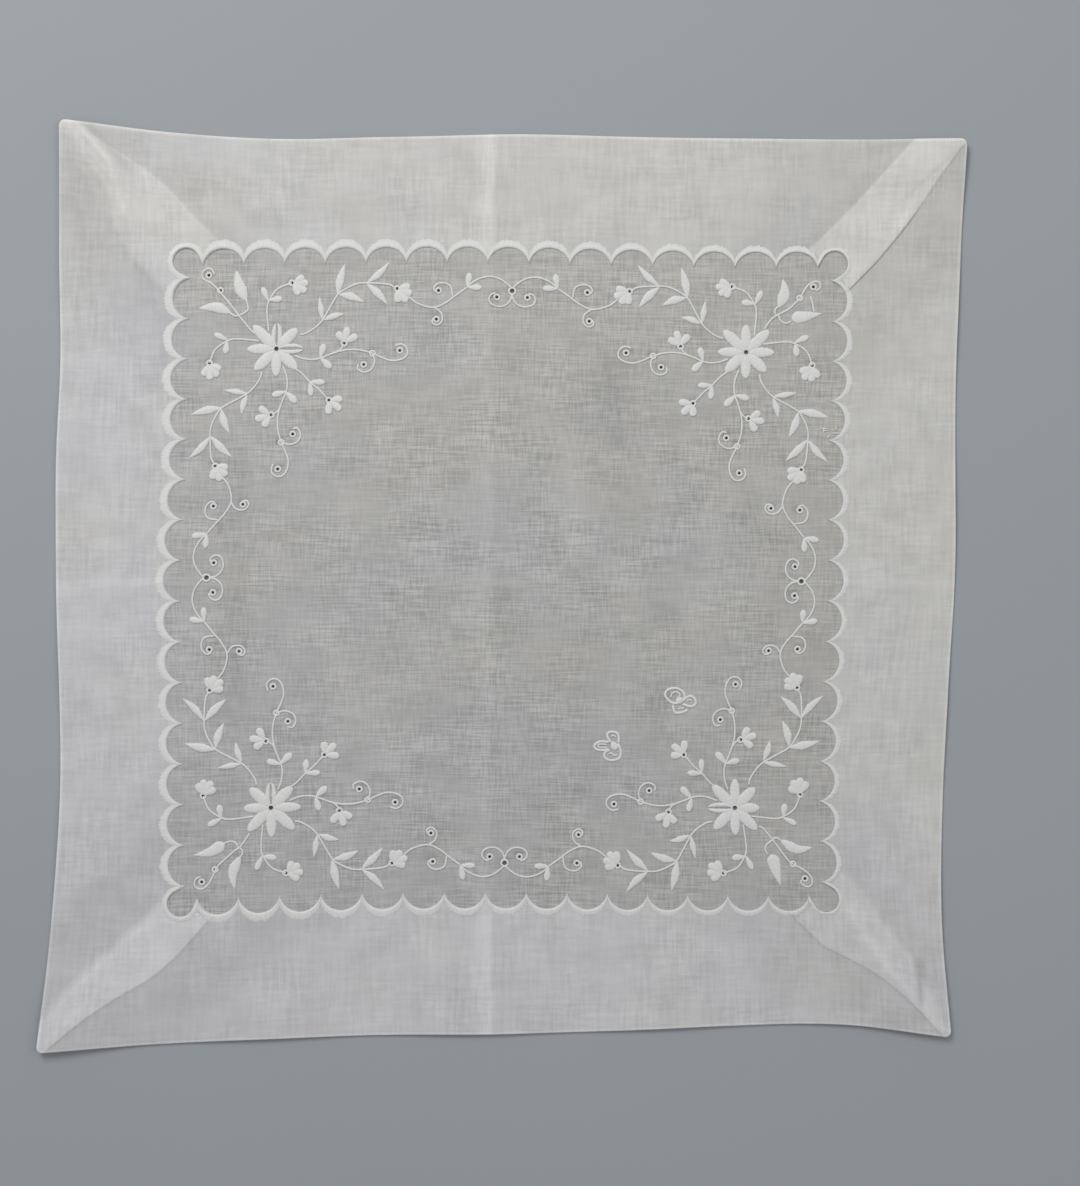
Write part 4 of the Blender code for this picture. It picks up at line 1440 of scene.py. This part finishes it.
def floor():
    """A wide plain floor."""
    material, tree, shader = new_material("pale_floor", FLOOR_FINISH)
    place = add_node(tree, "ShaderNodeTexCoord", {}, {}, "Object")
    noise = add_node(tree, "ShaderNodeTexNoise", {}, {"Vector": place, "Scale": 3.0, "Detail": 3.0})
    tree.links.new(mixed(tree, noise, *FLOOR_SHADES), shader.inputs["Base Color"])
    corners = [(FLOOR_HALF * x, FLOOR_HALF * y, 0) for x, y in ((-1, -1), (1, -1), (1, 1), (-1, 1))]
    mesh = bpy.data.meshes.new("floor")
    mesh.from_pydata(corners, [], [(0, 1, 2, 3)])
    mesh.materials.append(material)
    made = bpy.data.objects.new("floor", mesh)
    bpy.context.scene.collection.objects.link(made)


# The two soft boxes and the sky: places and sizes in metres, powers in watts
LIGHTS = (
    {
        "name": "key", "at": (-0.37, 0.67, 0.8), "size": 0.5, "power": 6.55,
        "colour": (1.0, 0.987, 0.97),
    },
    {
        "name": "fill", "at": (0.85, 0.2, 1.1), "size": 0.9, "power": 3.0,
        "colour": (0.97, 0.98, 1.0),
    },
)
SKY_COLOUR = (0.97, 0.98, 1.0, 1)
SKY_STRENGTH = 0.39


def soft_light(row):
    """A square soft box aimed at the middle of the cloth."""
    light = bpy.data.lights.new(row["name"], "AREA")
    light.shape = "SQUARE"
    light.size = row["size"]
    light.energy = row["power"]
    light.color = row["colour"]
    lamp = bpy.data.objects.new(row["name"], light)
    lamp.location = row["at"]
    aim = -lamp.location
    lamp.rotation_euler = aim.to_track_quat("-Z", "Y").to_euler()
    bpy.context.scene.collection.objects.link(lamp)


def studio():
    """Soft studio light: a key from beyond the top left corner, a weak fill and an even sky."""
    for row in LIGHTS:
        soft_light(row)
    world = bpy.data.worlds.new("studio")
    world.use_nodes = True
    sky = world.node_tree.nodes["Background"]
    sky.inputs["Color"].default_value = SKY_COLOUR
    sky.inputs["Strength"].default_value = SKY_STRENGTH
    bpy.context.scene.world = world
    bpy.context.scene.view_settings.view_transform = "Standard"


# The photograph's frame: its size and the pixel over the cloth's flat middle, and how many
# millimetres of cloth one pixel shows
PHOTO_WIDE = 1080
PHOTO_HIGH = 1186
MIDDLE_PIXEL = (507.25, 581.0)
MM_A_PIXEL = 0.332
LENS = 60.0
SENSOR = 36.0
NEAREST = 0.01


def camera():
    """A camera straight above, as high as makes the photograph's frame fit its lens."""
    data = bpy.data.cameras.new("overhead")
    data.lens = LENS
    data.sensor_width = SENSOR
    data.clip_start = NEAREST
    made = bpy.data.objects.new("overhead", data)
    x = (PHOTO_WIDE / 2 - MIDDLE_PIXEL[0]) * MM_A_PIXEL * MM - MIDDLE[0]
    y = (MIDDLE_PIXEL[1] - PHOTO_HIGH / 2) * MM_A_PIXEL * MM - MIDDLE[1]
    high = PHOTO_HIGH * MM_A_PIXEL * MM * LENS / SENSOR
    made.location = (x, y, high)
    bpy.context.scene.collection.objects.link(made)
    bpy.context.scene.camera = made


eyelets = eyelet_list()
ground = ground_cloth(eyelets)
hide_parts("linen_handkerchief")
hem = turned_hem()
stitching = [
    satin_scallops(), flower_petals(), leaves(), florets(), stems(), eyelet_rings(eyelets),
    butterflies(), mending(),
]
floor()
studio()
camera()
